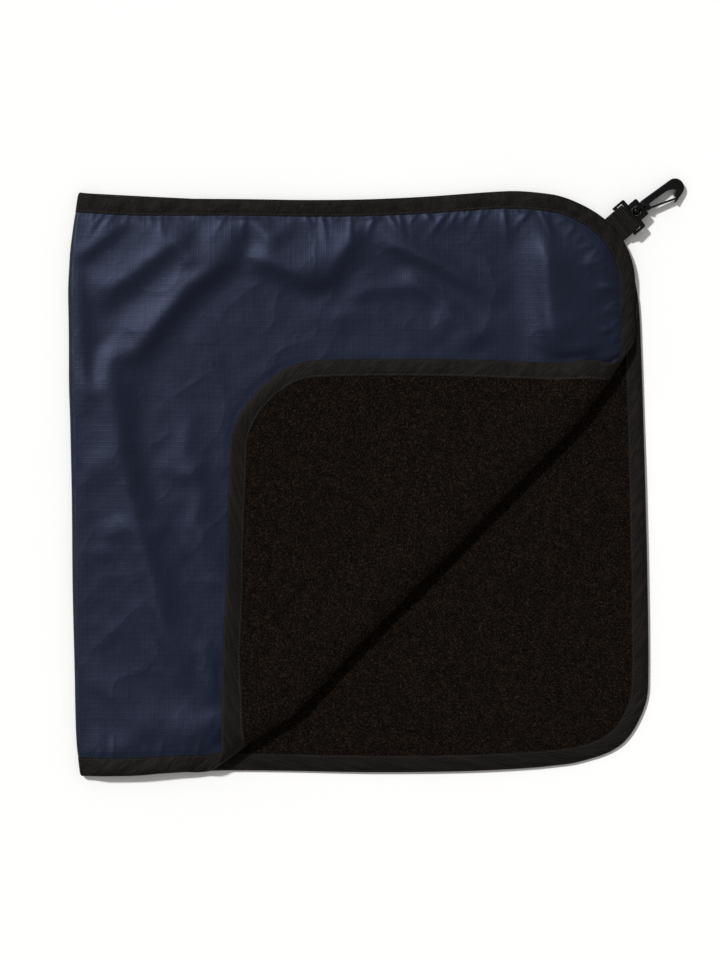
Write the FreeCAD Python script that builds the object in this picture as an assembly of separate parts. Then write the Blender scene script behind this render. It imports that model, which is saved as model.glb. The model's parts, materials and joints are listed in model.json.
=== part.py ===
"""A quick dry towel, folded in half with one corner turned back, and its swivel snap hook.

Two layers make the towel: a ripstop shell and a terry towelling lining, held together at the edge by
a bias binding. The lower leaf lies on the ground with its shell down. The upper leaf is folded over
it with its shell up, and the corner nearest +X, -Y is rolled back over the upper leaf, lining up.
A webbing tab is sewn into the binding at the +X, +Y corner and carries the hook.

Millimetres. +Z is up, +X runs from the fold to the free edge, and the origin is in the middle of the
lower leaf's underside.
"""

import FreeCAD
import Part
import math
import os
from FreeCAD import Placement, Rotation, Vector

# ---- driving dimensions: the cloth
LEAF_HALF_WIDTH = 250.0        # half of the towel's width, along Y
LOWER_EDGE_X = 250.0           # free edge of the lower leaf
UPPER_EDGE_X = 240.0           # free edge of the upper leaf, which lies a little short of it
FOLD_X = -250.0                # outermost line of the half fold
CORNER_RADIUS = 75.0
SHELL = 0.4                    # layers, as they lie in the binding
LINING = 2.4
TAPE = 0.4
LEAF_GAP = 0.4                 # air between the two leaves
TAPE_WIDTH = 15.0              # how far the binding reaches in from the edge
EDGE_PLAY = 0.05               # cloth edge to the inside of the binding
THREAD_WIDTH = 0.6
THREAD_HEIGHT = 0.25
THREAD_INSET = 1.5             # seam line to the inner edge of the binding

# ---- driving dimensions: the turned corner
CREASE_TANGENT = 91.8          # origin to the line where the roll of the corner begins
CREASE_RADIUS = 4.4            # of the middle of the cloth round the roll
CORNER_FLARE = 8.0             # extra length of the leaf towards this corner, where its sides flare
CORNER_TILT = 1.2              # degrees that the turned corner slopes down to its tip

# ---- driving dimensions: the webbing tab
BAR_CENTRE = Vector(229.3, 229.4, 7.6)  # middle of the bar that the webbing goes round
BASE_ANGLE = 40.5              # heading of the hook's base, degrees from +X
HOOK_ANGLE = 36.0              # heading of the hook, which its swivel lets lean to one side
DROOP = 4.8                    # degrees that base and hook point down
TAB_RISE = 8.0                 # degrees that the webbing climbs to the bar
WEBBING_WIDTH = 25.0
WEBBING_THICK = 1.3
WEBBING_PLAY = 0.1             # between the webbing and the bar
LOOP_SLACK = 3.4               # how far the loop reaches on past the bar
TAB_FREE_LENGTH = 7.7          # line where the webbing flexes to the bar
TAB_ROOT_LENGTH = 15.0         # from the flex line into the edge of the towel

# ---- driving dimensions: the hook's base, in its own frame with the bar at the origin
BAR_RADIUS = 1.7
FRAME_WIDTH = 30.4
FRAME_HEIGHT = 4.4
SLOT_WIDTH = 26.0
SLOT_FRONT = 6.8
FRAME_FRONT = 10.3
WINDOW_REAR = 8.9
WINDOW_FRONT = 16.5
WINDOW_WIDTH = 8.4
HOUSING_FRONT = 19.2
HOUSING_WIDTH = 17.4
HOUSING_HEIGHT = 7.4
BALL_OUT = 12.7                # bar to the ball that the hook swivels on

# ---- driving dimensions: the hook, in its own frame with the ball at the origin
BALL_RADIUS = 3.4
NECK_RADIUS = 2.3
NECK_CLEARANCE = 0.08
COLLAR = (7.3, 8.6)            # start and end
COLLAR_RADIUS = 4.6
SHANK_START = 8.3
HOOK_LEFT = 4.8                # straight back of the hook
HOOK_RIGHT = -5.9
HOOK_HEIGHT = 5.2
EYE_LEFT = -1.2                # inner side of the back bar
EYE_REAR = 12.2
EYE_REAR_RADIUS = 1.7
EYE_BEND_START = 30.5          # the back bar thickens from here to the front of the eye
EYE_BEND_RADIUS = 14.0
EYE_BEND = 36.9                # degrees
EYE_FRONT_RADIUS = 0.7
TOOTH_LENGTH = 4.3
NOSE_CENTRE = (39.8, -3.1)
NOSE_RADIUS = 7.9
NOSE_END = -70.0               # degrees, where the round nose runs out towards the beak
BEAK = (33.2, -13.8)
GATE_ROOT = (11.3, -4.6)
GATE_ROOT_RADIUS = 1.3
GATE_TIP = (33.6, -10.9)
GATE_THICK = 1.6
GATE_HEIGHT = 4.0
GATE_PLAY = 0.12
OUTER_ROUNDING = 1.1
EYE_ROUNDING = 0.6

# ---- derived
LEAF_THICK = SHELL + LINING + 2 * TAPE
INNER = TAPE_WIDTH + 0.3                                 # inset of the cloth that shows
UPPER_Z = LEAF_THICK + LEAF_GAP                          # underside of the upper leaf
UPPER_MIDDLE = UPPER_Z + LEAF_THICK / 2
FOLD_AXIS_Z = LEAF_THICK + LEAF_GAP / 2
FOLD_TANGENT_X = FOLD_X + FOLD_AXIS_Z                    # the fold's outer radius is FOLD_AXIS_Z
CREASE_AXIS_Z = UPPER_MIDDLE + CREASE_RADIUS
ROLL_CLOTH = math.pi * CREASE_RADIUS - CORNER_FLARE
CREASE_OUT = math.pi * CREASE_RADIUS / 4                 # hinge line beyond the tangent line
CORNER_SWING = 180.0 + CORNER_TILT
DIAGONAL = Vector(1, 1, 0) / math.sqrt(2)                # along the crease
OUTWARD = Vector(1, -1, 0) / math.sqrt(2)                # across it, to the corner
FOLD_HINGE = Vector(FOLD_TANGENT_X, 0, FOLD_AXIS_Z)
CREASE_HINGE = OUTWARD * (CREASE_TANGENT + CREASE_OUT) + Vector(0, 0, CREASE_AXIS_Z)
HUGE = 2000.0                                            # larger than the towel, for cutting

os.makedirs("parts", exist_ok=True)


def export(name, shape):
    """Writes one sub-part, and prints how many solids it has and its volume."""
    solids = shape.Solids
    if not solids or not all(s.isValid() and s.Volume > 0 for s in solids):
        raise ValueError(f"{name} has no valid solid")
    Part.makeCompound(solids).exportStep(f"parts/{name}.step")
    print(f"{name}: {len(solids)} solid(s), {sum(s.Volume for s in solids):.1f} mm3")


def half_slab(edge_x, inset, low, high):
    """One leaf's outline as a slab: square at the fold's tangent line, round at the two free corners."""
    x0 = FOLD_TANGENT_X
    x1 = edge_x - inset
    y1 = LEAF_HALF_WIDTH - inset
    r = CORNER_RADIUS - inset
    cut = r * (1 - math.sqrt(0.5))
    upper_arc = Part.Arc(Vector(x1 - r, y1, low), Vector(x1 - cut, y1 - cut, low), Vector(x1, y1 - r, low))
    lower_arc = Part.Arc(Vector(x1, r - y1, low), Vector(x1 - cut, cut - y1, low), Vector(x1 - r, -y1, low))
    wire = Part.Wire([
        Part.LineSegment(Vector(x0, -y1, low), Vector(x0, y1, low)).toShape(),
        Part.LineSegment(Vector(x0, y1, low), Vector(x1 - r, y1, low)).toShape(),
        upper_arc.toShape(),
        Part.LineSegment(Vector(x1, y1 - r, low), Vector(x1, r - y1, low)).toShape(),
        lower_arc.toShape(),
        Part.LineSegment(Vector(x1 - r, -y1, low), Vector(x0, -y1, low)).toShape(),
    ])
    return Part.Face(wire).extrude(Vector(0, 0, high - low))


def leaf_shell(edge_x):
    """Shell of a leaf whose shell side is down, at z 0: it steps up over the binding's lower side."""
    field = half_slab(edge_x, INNER, 0, TAPE + SHELL)
    margin = half_slab(edge_x, TAPE + EDGE_PLAY, TAPE, TAPE + SHELL)
    return field.fuse(margin).removeSplitter()


def leaf_lining(edge_x):
    """Towelling over the shell, stepped down under the binding's upper side."""
    low = TAPE + SHELL
    field = half_slab(edge_x, INNER, low, LEAF_THICK)
    margin = half_slab(edge_x, TAPE + EDGE_PLAY, low, LEAF_THICK - TAPE)
    return field.fuse(margin).removeSplitter()


def leaf_binding(edge_x):
    """Tape folded round the three free edges as a channel."""
    outside = half_slab(edge_x, 0, 0, LEAF_THICK)
    cloth = half_slab(edge_x, TAPE, TAPE, LEAF_THICK - TAPE)
    opening = half_slab(edge_x, TAPE_WIDTH, -1, LEAF_THICK + 1)
    return outside.cut(cloth).cut(opening)


def leaf_thread(edge_x, low):
    """The binding's seam, as one line of thread lying on its face."""
    inset = TAPE_WIDTH - THREAD_INSET
    outside = half_slab(edge_x, inset - THREAD_WIDTH, low, low + THREAD_HEIGHT)
    return outside.cut(half_slab(edge_x, inset, low - 1, low + 1))


def raised(shape, z):
    moved = shape.copy()
    moved.translate(Vector(0, 0, z))
    return moved


def turned_over(shape, thickness):
    """Swaps the two faces of a leaf, keeping its outline."""
    return raised(shape.mirror(Vector(0, 0, 0), Vector(0, 0, 1)), thickness)


def half_space(start, out):
    """A very large block whose near face passes through start, and which lies on the out side of it."""
    space = Part.makeBox(HUGE, HUGE, HUGE, Vector(0, -HUGE / 2, -HUGE / 2))
    space.Placement = Placement(start, Rotation(Vector(1, 0, 0), out))
    return space


def beyond(distance):
    """Everything further out than a line across the corner, at this distance from the origin."""
    return half_space(OUTWARD * distance, OUTWARD)


def turn_corner(shape):
    """Takes the corner of a flat upper leaf, beyond the cloth that goes into the roll, to its turned place."""
    corner = shape.common(beyond(CREASE_TANGENT + ROLL_CLOTH))
    corner.translate(OUTWARD * (2 * CREASE_OUT - ROLL_CLOTH))
    corner.rotate(CREASE_HINGE, DIAGONAL, -CORNER_SWING)
    return corner


def half_pipe(start, along, out, inner, outer, length):
    """Half a tube about an axis from start, along a direction, bulging outward."""
    tube = Part.makeCylinder(outer, length, start, along)
    tube = tube.cut(Part.makeCylinder(inner, length + 2, start - along, along))
    return tube.common(half_space(start, out))


def fold_strip(inner, outer, y_low, y_high):
    """Part of the half fold between two places along Y."""
    start = Vector(FOLD_TANGENT_X, y_low, FOLD_AXIS_Z)
    return half_pipe(start, Vector(0, 1, 0), Vector(-1, 0, 0), inner, outer, y_high - y_low)


def crease_end(edge_distance):
    """How far along the crease, from the middle of the leaf, an edge lies half way round the roll."""
    return edge_distance - CREASE_TANGENT - ROLL_CLOTH / 2


def crease_strip(inner, outer, s_low, s_high):
    """Part of the roll between two places along the crease."""
    start = OUTWARD * CREASE_TANGENT + DIAGONAL * s_low + Vector(0, 0, CREASE_AXIS_Z)
    return half_pipe(start, DIAGONAL, OUTWARD, inner, outer, s_high - s_low)


# ---- frames of the tab, base and hook: u ahead, v to the left, w up
def heading(angle, droop):
    return Rotation(Vector(0, 0, 1), angle) * Rotation(Vector(0, 1, 0), droop)


LOOP_PLACE = Placement(BAR_CENTRE, heading(BASE_ANGLE, -TAB_RISE))
BASE_PLACE = Placement(BAR_CENTRE, heading(BASE_ANGLE, DROOP))
BALL_CENTRE = BASE_PLACE.multVec(Vector(BALL_OUT, 0, 0))
HOOK_PLACE = Placement(BALL_CENTRE, heading(HOOK_ANGLE, DROOP))
FLEX_LINE = LOOP_PLACE.multVec(Vector(-TAB_FREE_LENGTH, 0, 0))


def placed(shape, place):
    """From its own frame to the towel's."""
    moved = shape.copy()
    moved.Placement = place.multiply(moved.Placement)
    return moved


def flat_edge(points, height):
    """A line, or an arc through three points, given in the plane of a moulding."""
    at = [Vector(u, v, height) for u, v in points]
    curve = Part.LineSegment(*at) if len(at) == 2 else Part.Arc(*at)
    return curve.toShape()


def polar(centre, radius, degrees):
    a = math.radians(degrees)
    return (centre[0] + radius * math.cos(a), centre[1] + radius * math.sin(a))


def edges_along(shape, direction):
    return [e for e in shape.Edges if abs(e.tangentAt(e.FirstParameter).dot(direction)) > 0.99]


def block(u_low, u_high, width, height):
    """A block centred on the u axis."""
    return Part.makeBox(u_high - u_low, width, height, Vector(u_low, -width / 2, -height / 2))


def webbing_loop():
    """The doubled webbing from its flex line, round the bar and back. It is round where it flexes."""
    t = WEBBING_THICK
    bore = BAR_RADIUS + WEBBING_PLAY
    root = -TAB_FREE_LENGTH

    def section(radius, height):
        front = Vector(LOOP_SLACK, 0, radius)
        corners = [Vector(root, 0, height), Vector(0, 0, radius), front, Vector(LOOP_SLACK, 0, -radius),
                   Vector(0, 0, -radius), Vector(root, 0, -height)]
        edges = [Part.LineSegment(corners[i], corners[i + 1]).toShape() for i in (0, 1, 3, 4)]
        edges.append(Part.Arc(front, Vector(LOOP_SLACK + radius, 0, 0), corners[3]).toShape())
        if height:
            edges.append(Part.Arc(corners[5], Vector(root - height, 0, 0), corners[0]).toShape())
        face = Part.Face(Part.Wire(Part.__sortEdges__(edges)))
        face.translate(Vector(0, -WEBBING_WIDTH / 2, 0))
        return face.extrude(Vector(0, WEBBING_WIDTH, 0))

    return section(bore + t, t).cut(section(bore, 0))


def tab_root():
    """The two layers of webbing that are sewn into the edge, behind the flex line."""
    gap = 0.15
    front = -WEBBING_THICK - gap
    root = block(-TAB_ROOT_LENGTH, front, WEBBING_WIDTH, 2 * WEBBING_THICK)
    place = Placement(Vector(FLEX_LINE.x, FLEX_LINE.y, UPPER_MIDDLE), heading(BASE_ANGLE, 0))
    return placed(root, place)


def hook_base():
    """A frame with a round bar for the webbing, and a housing with a window for the swivel's ball."""
    across = Vector(0, 1, 0)
    frame = block(0, FRAME_FRONT, FRAME_WIDTH, FRAME_HEIGHT)
    frame = frame.makeFillet(1.8, [e for e in edges_along(frame, Vector(0, 0, 1)) if e.CenterOfMass.x > 1])
    ends = Part.makeCylinder(FRAME_HEIGHT / 2, FRAME_WIDTH, Vector(0, -FRAME_WIDTH / 2, 0), across)
    slot = block(-HUGE, SLOT_FRONT, SLOT_WIDTH, HUGE)
    bar = Part.makeCylinder(BAR_RADIUS, SLOT_WIDTH + 2, Vector(0, -SLOT_WIDTH / 2 - 1, 0), across)
    housing = block(FRAME_FRONT - 1.5, HOUSING_FRONT, HOUSING_WIDTH, HOUSING_HEIGHT)
    housing = housing.makeFillet(1.6, edges_along(housing, Vector(0, 0, 1)))
    rims = [e for e in housing.Edges if abs(abs(e.CenterOfMass.z) - HOUSING_HEIGHT / 2) < 1e-6]
    housing = housing.makeFillet(0.8, rims)
    window = block(WINDOW_REAR, WINDOW_FRONT, WINDOW_WIDTH, HUGE)
    window = window.makeFillet(1.5, edges_along(window, Vector(0, 0, 1)))
    to_hook = BASE_PLACE.inverse().multiply(HOOK_PLACE)
    bore = Part.makeCylinder(NECK_RADIUS + NECK_CLEARANCE, 20, Vector(0, 0, 0), Vector(1, 0, 0))
    body = frame.fuse(ends).cut(slot).fuse([bar, housing]).cut(window)
    return body.cut(placed(bore, to_hook)).removeSplitter()


def hook_outline():
    """The hook in plan, clockwise: back, nose, beak, eye, the gate's pocket and the shank.

    Returns the edges of the outside, those of the eye, and those that hold the gate.
    """
    back_end = polar(NOSE_CENTRE, NOSE_RADIUS, 90)
    nose_end = polar(NOSE_CENTRE, NOSE_RADIUS, NOSE_END)
    lip = (GATE_TIP[0] - 0.6, GATE_TIP[1] - 0.9)
    pocket_end = (GATE_TIP[0] + 0.6, GATE_TIP[1] - 1.05)
    bend_centre = (EYE_BEND_START, EYE_LEFT - EYE_BEND_RADIUS)
    bend_start = polar(bend_centre, EYE_BEND_RADIUS, 90)
    bend_end = polar(bend_centre, EYE_BEND_RADIUS, 90 - EYE_BEND)
    front_centre = polar(bend_centre, EYE_BEND_RADIUS - EYE_FRONT_RADIUS, 90 - EYE_BEND)
    front_end = polar(front_centre, EYE_FRONT_RADIUS, -60)
    tooth = polar(front_end, TOOTH_LENGTH, 210)
    rear_centre = (EYE_REAR + EYE_REAR_RADIUS, EYE_LEFT - EYE_REAR_RADIUS)
    rear_end = polar(rear_centre, EYE_REAR_RADIUS, 175)
    pocket = GATE_ROOT_RADIUS + GATE_PLAY
    pocket_up = polar(GATE_ROOT, pocket, 40)
    pocket_down = polar(GATE_ROOT, pocket, -100)
    outside = [
        [(SHANK_START, HOOK_LEFT), back_end],
        [back_end, polar(NOSE_CENTRE, NOSE_RADIUS, 10), nose_end],
        [nose_end, BEAK],
    ]
    gate_seat = [
        [BEAK, (BEAK[0] - 0.9, BEAK[1] + 0.6), lip],
        [lip, pocket_end],
        [pocket_end, (GATE_TIP[0] + 1.4, GATE_TIP[1] + 0.9)],
        [(GATE_TIP[0] + 1.4, GATE_TIP[1] + 0.9), tooth],
    ]
    eye = [
        [tooth, front_end],
        [front_end, polar(front_centre, EYE_FRONT_RADIUS, 0), bend_end],
        [bend_end, polar(bend_centre, EYE_BEND_RADIUS, 90 - EYE_BEND / 2), bend_start],
        [bend_start, polar(rear_centre, EYE_REAR_RADIUS, 90)],
        [polar(rear_centre, EYE_REAR_RADIUS, 90), polar(rear_centre, EYE_REAR_RADIUS, 130), rear_end],
    ]
    root = [
        [rear_end, pocket_up],
        [pocket_up, polar(GATE_ROOT, pocket, 150), pocket_down],
        [pocket_down, (GATE_ROOT[0] - 1.4, HOOK_RIGHT)],
        [(GATE_ROOT[0] - 1.4, HOOK_RIGHT), (SHANK_START, HOOK_RIGHT + 0.6)],
        [(SHANK_START, HOOK_RIGHT + 0.6), (SHANK_START, HOOK_LEFT)],
    ]
    return outside, gate_seat, eye, root


def hook_body():
    """The hook with its collar, neck and the ball that it swivels on."""
    half = HOOK_HEIGHT / 2
    outside, gate_seat, eye, root = hook_outline()
    wire = Part.Wire([flat_edge(points, -half) for points in outside + gate_seat + eye + root])
    body = Part.Face(wire).extrude(Vector(0, 0, HOOK_HEIGHT))
    for group, radius in ((outside, OUTER_ROUNDING), (eye, EYE_ROUNDING)):
        rims = []
        for points in group:
            for height in (-half, half):
                wanted = flat_edge(points, height).CenterOfMass
                rims += [e for e in body.Edges if (e.CenterOfMass - wanted).Length < 1e-4]
        body = body.makeFillet(radius, rims)
    ahead = Vector(1, 0, 0)
    collar = Part.makeCylinder(COLLAR_RADIUS, COLLAR[1] - COLLAR[0], Vector(COLLAR[0], 0, 0), ahead)
    neck = Part.makeCylinder(NECK_RADIUS, COLLAR[1], Vector(0, 0, 0), ahead)
    ball = Part.makeSphere(BALL_RADIUS)
    return body.fuse([collar, neck, ball]).removeSplitter()


def hook_gate():
    """The springy tongue that closes the hook. It is round where it flexes."""
    du, dv = GATE_TIP[0] - GATE_ROOT[0], GATE_TIP[1] - GATE_ROOT[1]
    length = math.hypot(du, dv)
    half = GATE_HEIGHT / 2
    root = Part.makeCylinder(GATE_ROOT_RADIUS, GATE_HEIGHT, Vector(0, 0, -half))
    blade = block(0, length, GATE_THICK, GATE_HEIGHT)
    tip = Part.makeCylinder(GATE_THICK / 2, GATE_HEIGHT, Vector(length, 0, -half))
    gate = root.fuse([blade, tip]).removeSplitter()
    angle = math.degrees(math.atan2(dv, du))
    gate.Placement = Placement(Vector(*GATE_ROOT, 0), Rotation(Vector(0, 0, 1), angle))
    return gate


def print_joint_places():
    """Prints where the joints are, and which way they point."""
    across = BASE_PLACE.Rotation.multVec(Vector(0, 1, 0))
    gate_pin = HOOK_PLACE.multVec(Vector(*GATE_ROOT, 0))
    for name, at, axis in (
        ("leaf fold", FOLD_HINGE, Vector(0, -1, 0)),
        ("corner fold", CREASE_HINGE, DIAGONAL),
        ("tab flex", FLEX_LINE, across),
        ("base swing", BAR_CENTRE, across),
        ("swivel", BALL_CENTRE, HOOK_PLACE.Rotation.multVec(Vector(1, 0, 0))),
        ("gate", gate_pin, HOOK_PLACE.Rotation.multVec(Vector(0, 0, 1))),
    ):
        print(f"{name}: at {[round(c, 4) for c in at]} mm, axis {[round(c, 6) for c in axis]}")


def main():
    # lower leaf, shell down
    export("lower_shell", leaf_shell(LOWER_EDGE_X))
    export("lower_towelling", leaf_lining(LOWER_EDGE_X))
    export("lower_binding", leaf_binding(LOWER_EDGE_X))
    export("lower_seam_thread", leaf_thread(LOWER_EDGE_X, LEAF_THICK))

    # upper leaf, shell up, cut at the crease, with room for the sewn end of the tab
    root = tab_root()
    leaf = {
        "shell": leaf_shell(UPPER_EDGE_X),
        "towelling": leaf_lining(UPPER_EDGE_X),
        "binding": leaf_binding(UPPER_EDGE_X),
    }
    leaf = {name: raised(turned_over(s, LEAF_THICK), UPPER_Z) for name, s in leaf.items()}
    top_thread = leaf_thread(UPPER_EDGE_X, UPPER_Z + LEAF_THICK)
    under_thread = leaf_thread(UPPER_EDGE_X, UPPER_Z - THREAD_HEIGHT)
    corner = beyond(CREASE_TANGENT)
    for name, shape in leaf.items():
        export(f"upper_{name}", shape.cut(corner).cut(root))
        export(f"corner_{name}", turn_corner(shape))
    export("upper_seam_thread", top_thread.cut(corner))
    export("corner_seam_thread", turn_corner(under_thread))
    export("tab_root", root)

    # the half fold
    outer = FOLD_AXIS_Z
    between = outer - TAPE - SHELL
    inside = LEAF_GAP / 2
    inner_y = LEAF_HALF_WIDTH - INNER
    tape_y = LEAF_HALF_WIDTH - TAPE_WIDTH
    export("fold_shell", fold_strip(between, outer, -inner_y, inner_y))
    export("fold_towelling", fold_strip(inside, between, -inner_y, inner_y))
    ends = [fold_strip(inside, outer, tape_y, LEAF_HALF_WIDTH), fold_strip(inside, outer, -LEAF_HALF_WIDTH, -tape_y)]
    export("fold_binding", Part.makeCompound(ends))

    # the roll of the turned corner, shell inside
    half = LEAF_THICK / 2
    small, large = CREASE_RADIUS - half, CREASE_RADIUS + half
    middle = small + TAPE + SHELL
    right = crease_end(UPPER_EDGE_X * math.sqrt(2))
    left = -crease_end(LEAF_HALF_WIDTH * math.sqrt(2))
    tape = TAPE_WIDTH * math.sqrt(2)
    cloth = INNER * math.sqrt(2)
    export("crease_shell", crease_strip(small, middle, left + cloth, right - cloth))
    export("crease_towelling", crease_strip(middle, large, left + cloth, right - cloth))
    ends = [crease_strip(small, large, right - tape, right), crease_strip(small, large, left, left + tape)]
    export("crease_binding", Part.makeCompound(ends))

    # tab and hook
    export("webbing_loop", placed(webbing_loop(), LOOP_PLACE))
    export("hook_base", placed(hook_base(), BASE_PLACE))
    export("hook_body", placed(hook_body(), HOOK_PLACE))
    export("hook_gate", placed(hook_gate(), HOOK_PLACE))
    print_joint_places()


main()
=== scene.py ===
"""Visual model of a quick dry towel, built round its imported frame.

The towel is one cloth of two layers with a bound edge. Each piece of it is made flat, in the towel's own
plan, and is then laid in place by one of three maps: the lower leaf's, the upper leaf's with its turned
corner, or the half fold's. So neighbouring pieces meet, and the weave runs on from one to the next.

A flat point is x, y in the plan and h through the cloth. Lengths are metres, and MM is a millimetre.
"""

import json
import math

import bpy
import numpy as np
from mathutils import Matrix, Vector


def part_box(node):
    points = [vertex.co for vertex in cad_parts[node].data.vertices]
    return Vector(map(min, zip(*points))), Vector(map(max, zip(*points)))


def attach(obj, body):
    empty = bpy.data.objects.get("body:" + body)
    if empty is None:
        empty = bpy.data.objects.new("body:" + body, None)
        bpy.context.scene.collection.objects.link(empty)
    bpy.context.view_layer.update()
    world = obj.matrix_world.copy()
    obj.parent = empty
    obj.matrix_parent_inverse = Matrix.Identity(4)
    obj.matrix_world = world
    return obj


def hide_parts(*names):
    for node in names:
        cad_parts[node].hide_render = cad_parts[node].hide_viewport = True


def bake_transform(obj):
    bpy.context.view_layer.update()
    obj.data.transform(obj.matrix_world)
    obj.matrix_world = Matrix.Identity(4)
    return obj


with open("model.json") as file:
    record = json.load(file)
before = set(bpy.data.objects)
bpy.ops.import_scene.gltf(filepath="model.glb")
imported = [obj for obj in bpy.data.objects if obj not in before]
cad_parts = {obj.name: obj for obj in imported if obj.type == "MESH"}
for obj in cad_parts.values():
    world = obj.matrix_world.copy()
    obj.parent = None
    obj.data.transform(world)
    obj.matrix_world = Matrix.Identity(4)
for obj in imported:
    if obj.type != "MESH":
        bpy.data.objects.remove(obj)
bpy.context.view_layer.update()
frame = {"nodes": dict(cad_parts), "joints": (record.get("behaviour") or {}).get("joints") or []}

MM = 0.001
X, Y, Z = 0, 1, 2
ROOT2 = math.sqrt(2)
JOINTS = {joint["name"]: joint for joint in frame["joints"]}


def low(node, axis):
    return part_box(node)[0][axis]


def high(node, axis):
    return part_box(node)[1][axis]


# ---- the cloth's sizes, from the frame
HALF = high("lower_binding", Y)
LOWER_X = high("lower_binding", X)
UPPER_X = high("upper_binding", X)
FOLD_X = low("lower_binding", X)
THICK = high("lower_binding", Z)
UPPER_Z = low("upper_binding", Z)
UPPER_MIDDLE = UPPER_Z + THICK / 2
FOLD_AXIS_Z = JOINTS["leaf_fold"]["pos_m"][Z]
CORNER_HINGE = JOINTS["corner_fold"]["pos_m"]
CREASE_AXIS_Z = CORNER_HINGE[Z]
CREASE_R = CREASE_AXIS_Z - UPPER_MIDDLE
CREASE = math.hypot(CORNER_HINGE[X], CORNER_HINGE[Y]) - math.pi * CREASE_R / 4
CORNER_RADIUS = 75 * MM
TAPE_WIDTH = 15 * MM
SEAM = 13.4 * MM               # stitching, in from the edge
CLOTH_EDGE = 1.6 * MM          # cut edge of the cloth inside the binding

GROUND = 0.5 * MM              # the towel lies this far off the floor, on the pile of its lower shell

# ---- the roll of the turned corner
NOSE_TURN = math.radians(150)  # how far the tight part of the roll turns
SHOULDER = 18.7 * MM           # cloth between the tight part and the crest
BUMP_REACH = 45 * MM           # crest to where the turned corner lies flat
FLARE = 9.6 * MM               # extra cloth taken up towards the turned corner
FLARE_REACH = 65 * MM
STRIP = 16 * MM                # cloth of the crease strip, from the start of the roll
CORNER_SLOPE = math.tan(math.radians(1.2))
CORNER_REST = 0.5 * MM         # the turned corner lies on a slightly puffed shell


# ---- small numeric helpers
def smooth(t):
    t = np.clip(t, 0, 1)
    return t * t * (3 - 2 * t)


def mix(a, b, t):
    return a + (b - a) * t


NOISE_ORIGIN = (17.3, 29.1)    # sets the towel's middle off the lattice's own corner


def noise(x, y, cell, seed):
    """Smooth random field from -1 to 1, with a hill or hollow about every cell."""
    size = 64
    lattice = np.random.default_rng(seed).uniform(-1, 1, (size, size))
    u, v = x / cell + NOISE_ORIGIN[X], y / cell + NOISE_ORIGIN[Y]
    i, j = np.floor(u).astype(int), np.floor(v).astype(int)
    fu, fv = smooth(u - i), smooth(v - j)
    a = mix(lattice[i % size, j % size], lattice[(i + 1) % size, j % size], fu)
    b = mix(lattice[i % size, (j + 1) % size], lattice[(i + 1) % size, (j + 1) % size], fu)
    return mix(a, b, fv)


def spans(*parts):
    """Stations from the first number on: each part is (end, step)."""
    at = [parts[0]]
    for end, step in parts[1:]:
        count = max(1, round((end - at[-1]) / step))
        at += list(np.linspace(at[-1], end, count + 1)[1:])
    return np.array(at)


def grid_points(xs, ys):
    """Points of a grid, by column and then row."""
    return np.stack(np.meshgrid(xs, ys, indexing="ij"), -1).reshape(-1, 2)


def grid_quads(columns, rows):
    """Quads of a grid whose points run by column, then row."""
    corner = (np.arange(columns - 1)[:, None] * rows + np.arange(rows - 1)[None, :]).ravel()
    return np.stack([corner, corner + rows, corner + rows + 1, corner + 1], 1)


def drop_unused(quads, count):
    """The points that the quads use, and the quads renumbered to match them."""
    used = np.unique(quads)
    renumber = np.full(count, -1)
    renumber[used] = np.arange(len(used))
    return used, renumber[quads]


def run_along(line):
    """Length from the start of a line to each of its points."""
    step = np.hypot(*np.diff(line, axis=0).T)
    return np.concatenate([[0], np.cumsum(step)])


class PlanWarp:
    """Moves the plan smoothly so that each pin moves as it says (a thin-plate spline)."""

    def __init__(self, pins):
        pins = np.array(pins, float) * MM
        self.at = pins[:, :2]
        count = len(pins)
        sides = np.hstack([np.ones((count, 1)), self.at])
        system = np.zeros((count + 3, count + 3))
        system[:count, :count] = self.pull(self.at) + 1e-7 * np.eye(count)
        system[:count, count:] = sides
        system[count:, :count] = sides.T
        moves = np.vstack([pins[:, 2:], np.zeros((3, 2))])
        self.weights = np.linalg.solve(system, moves)

    def pull(self, points):
        square = ((points[:, None, :] - self.at[None, :, :]) ** 2).sum(2)
        return square * np.log(square + 1e-12)

    def __call__(self, points):
        moved = np.empty_like(points)
        for start in range(0, len(points), 20000):
            part = points[start:start + 20000]
            basis = np.hstack([self.pull(part), np.ones((len(part), 1)), part])
            moved[start:start + 20000] = part + basis @ self.weights
        return moved


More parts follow.
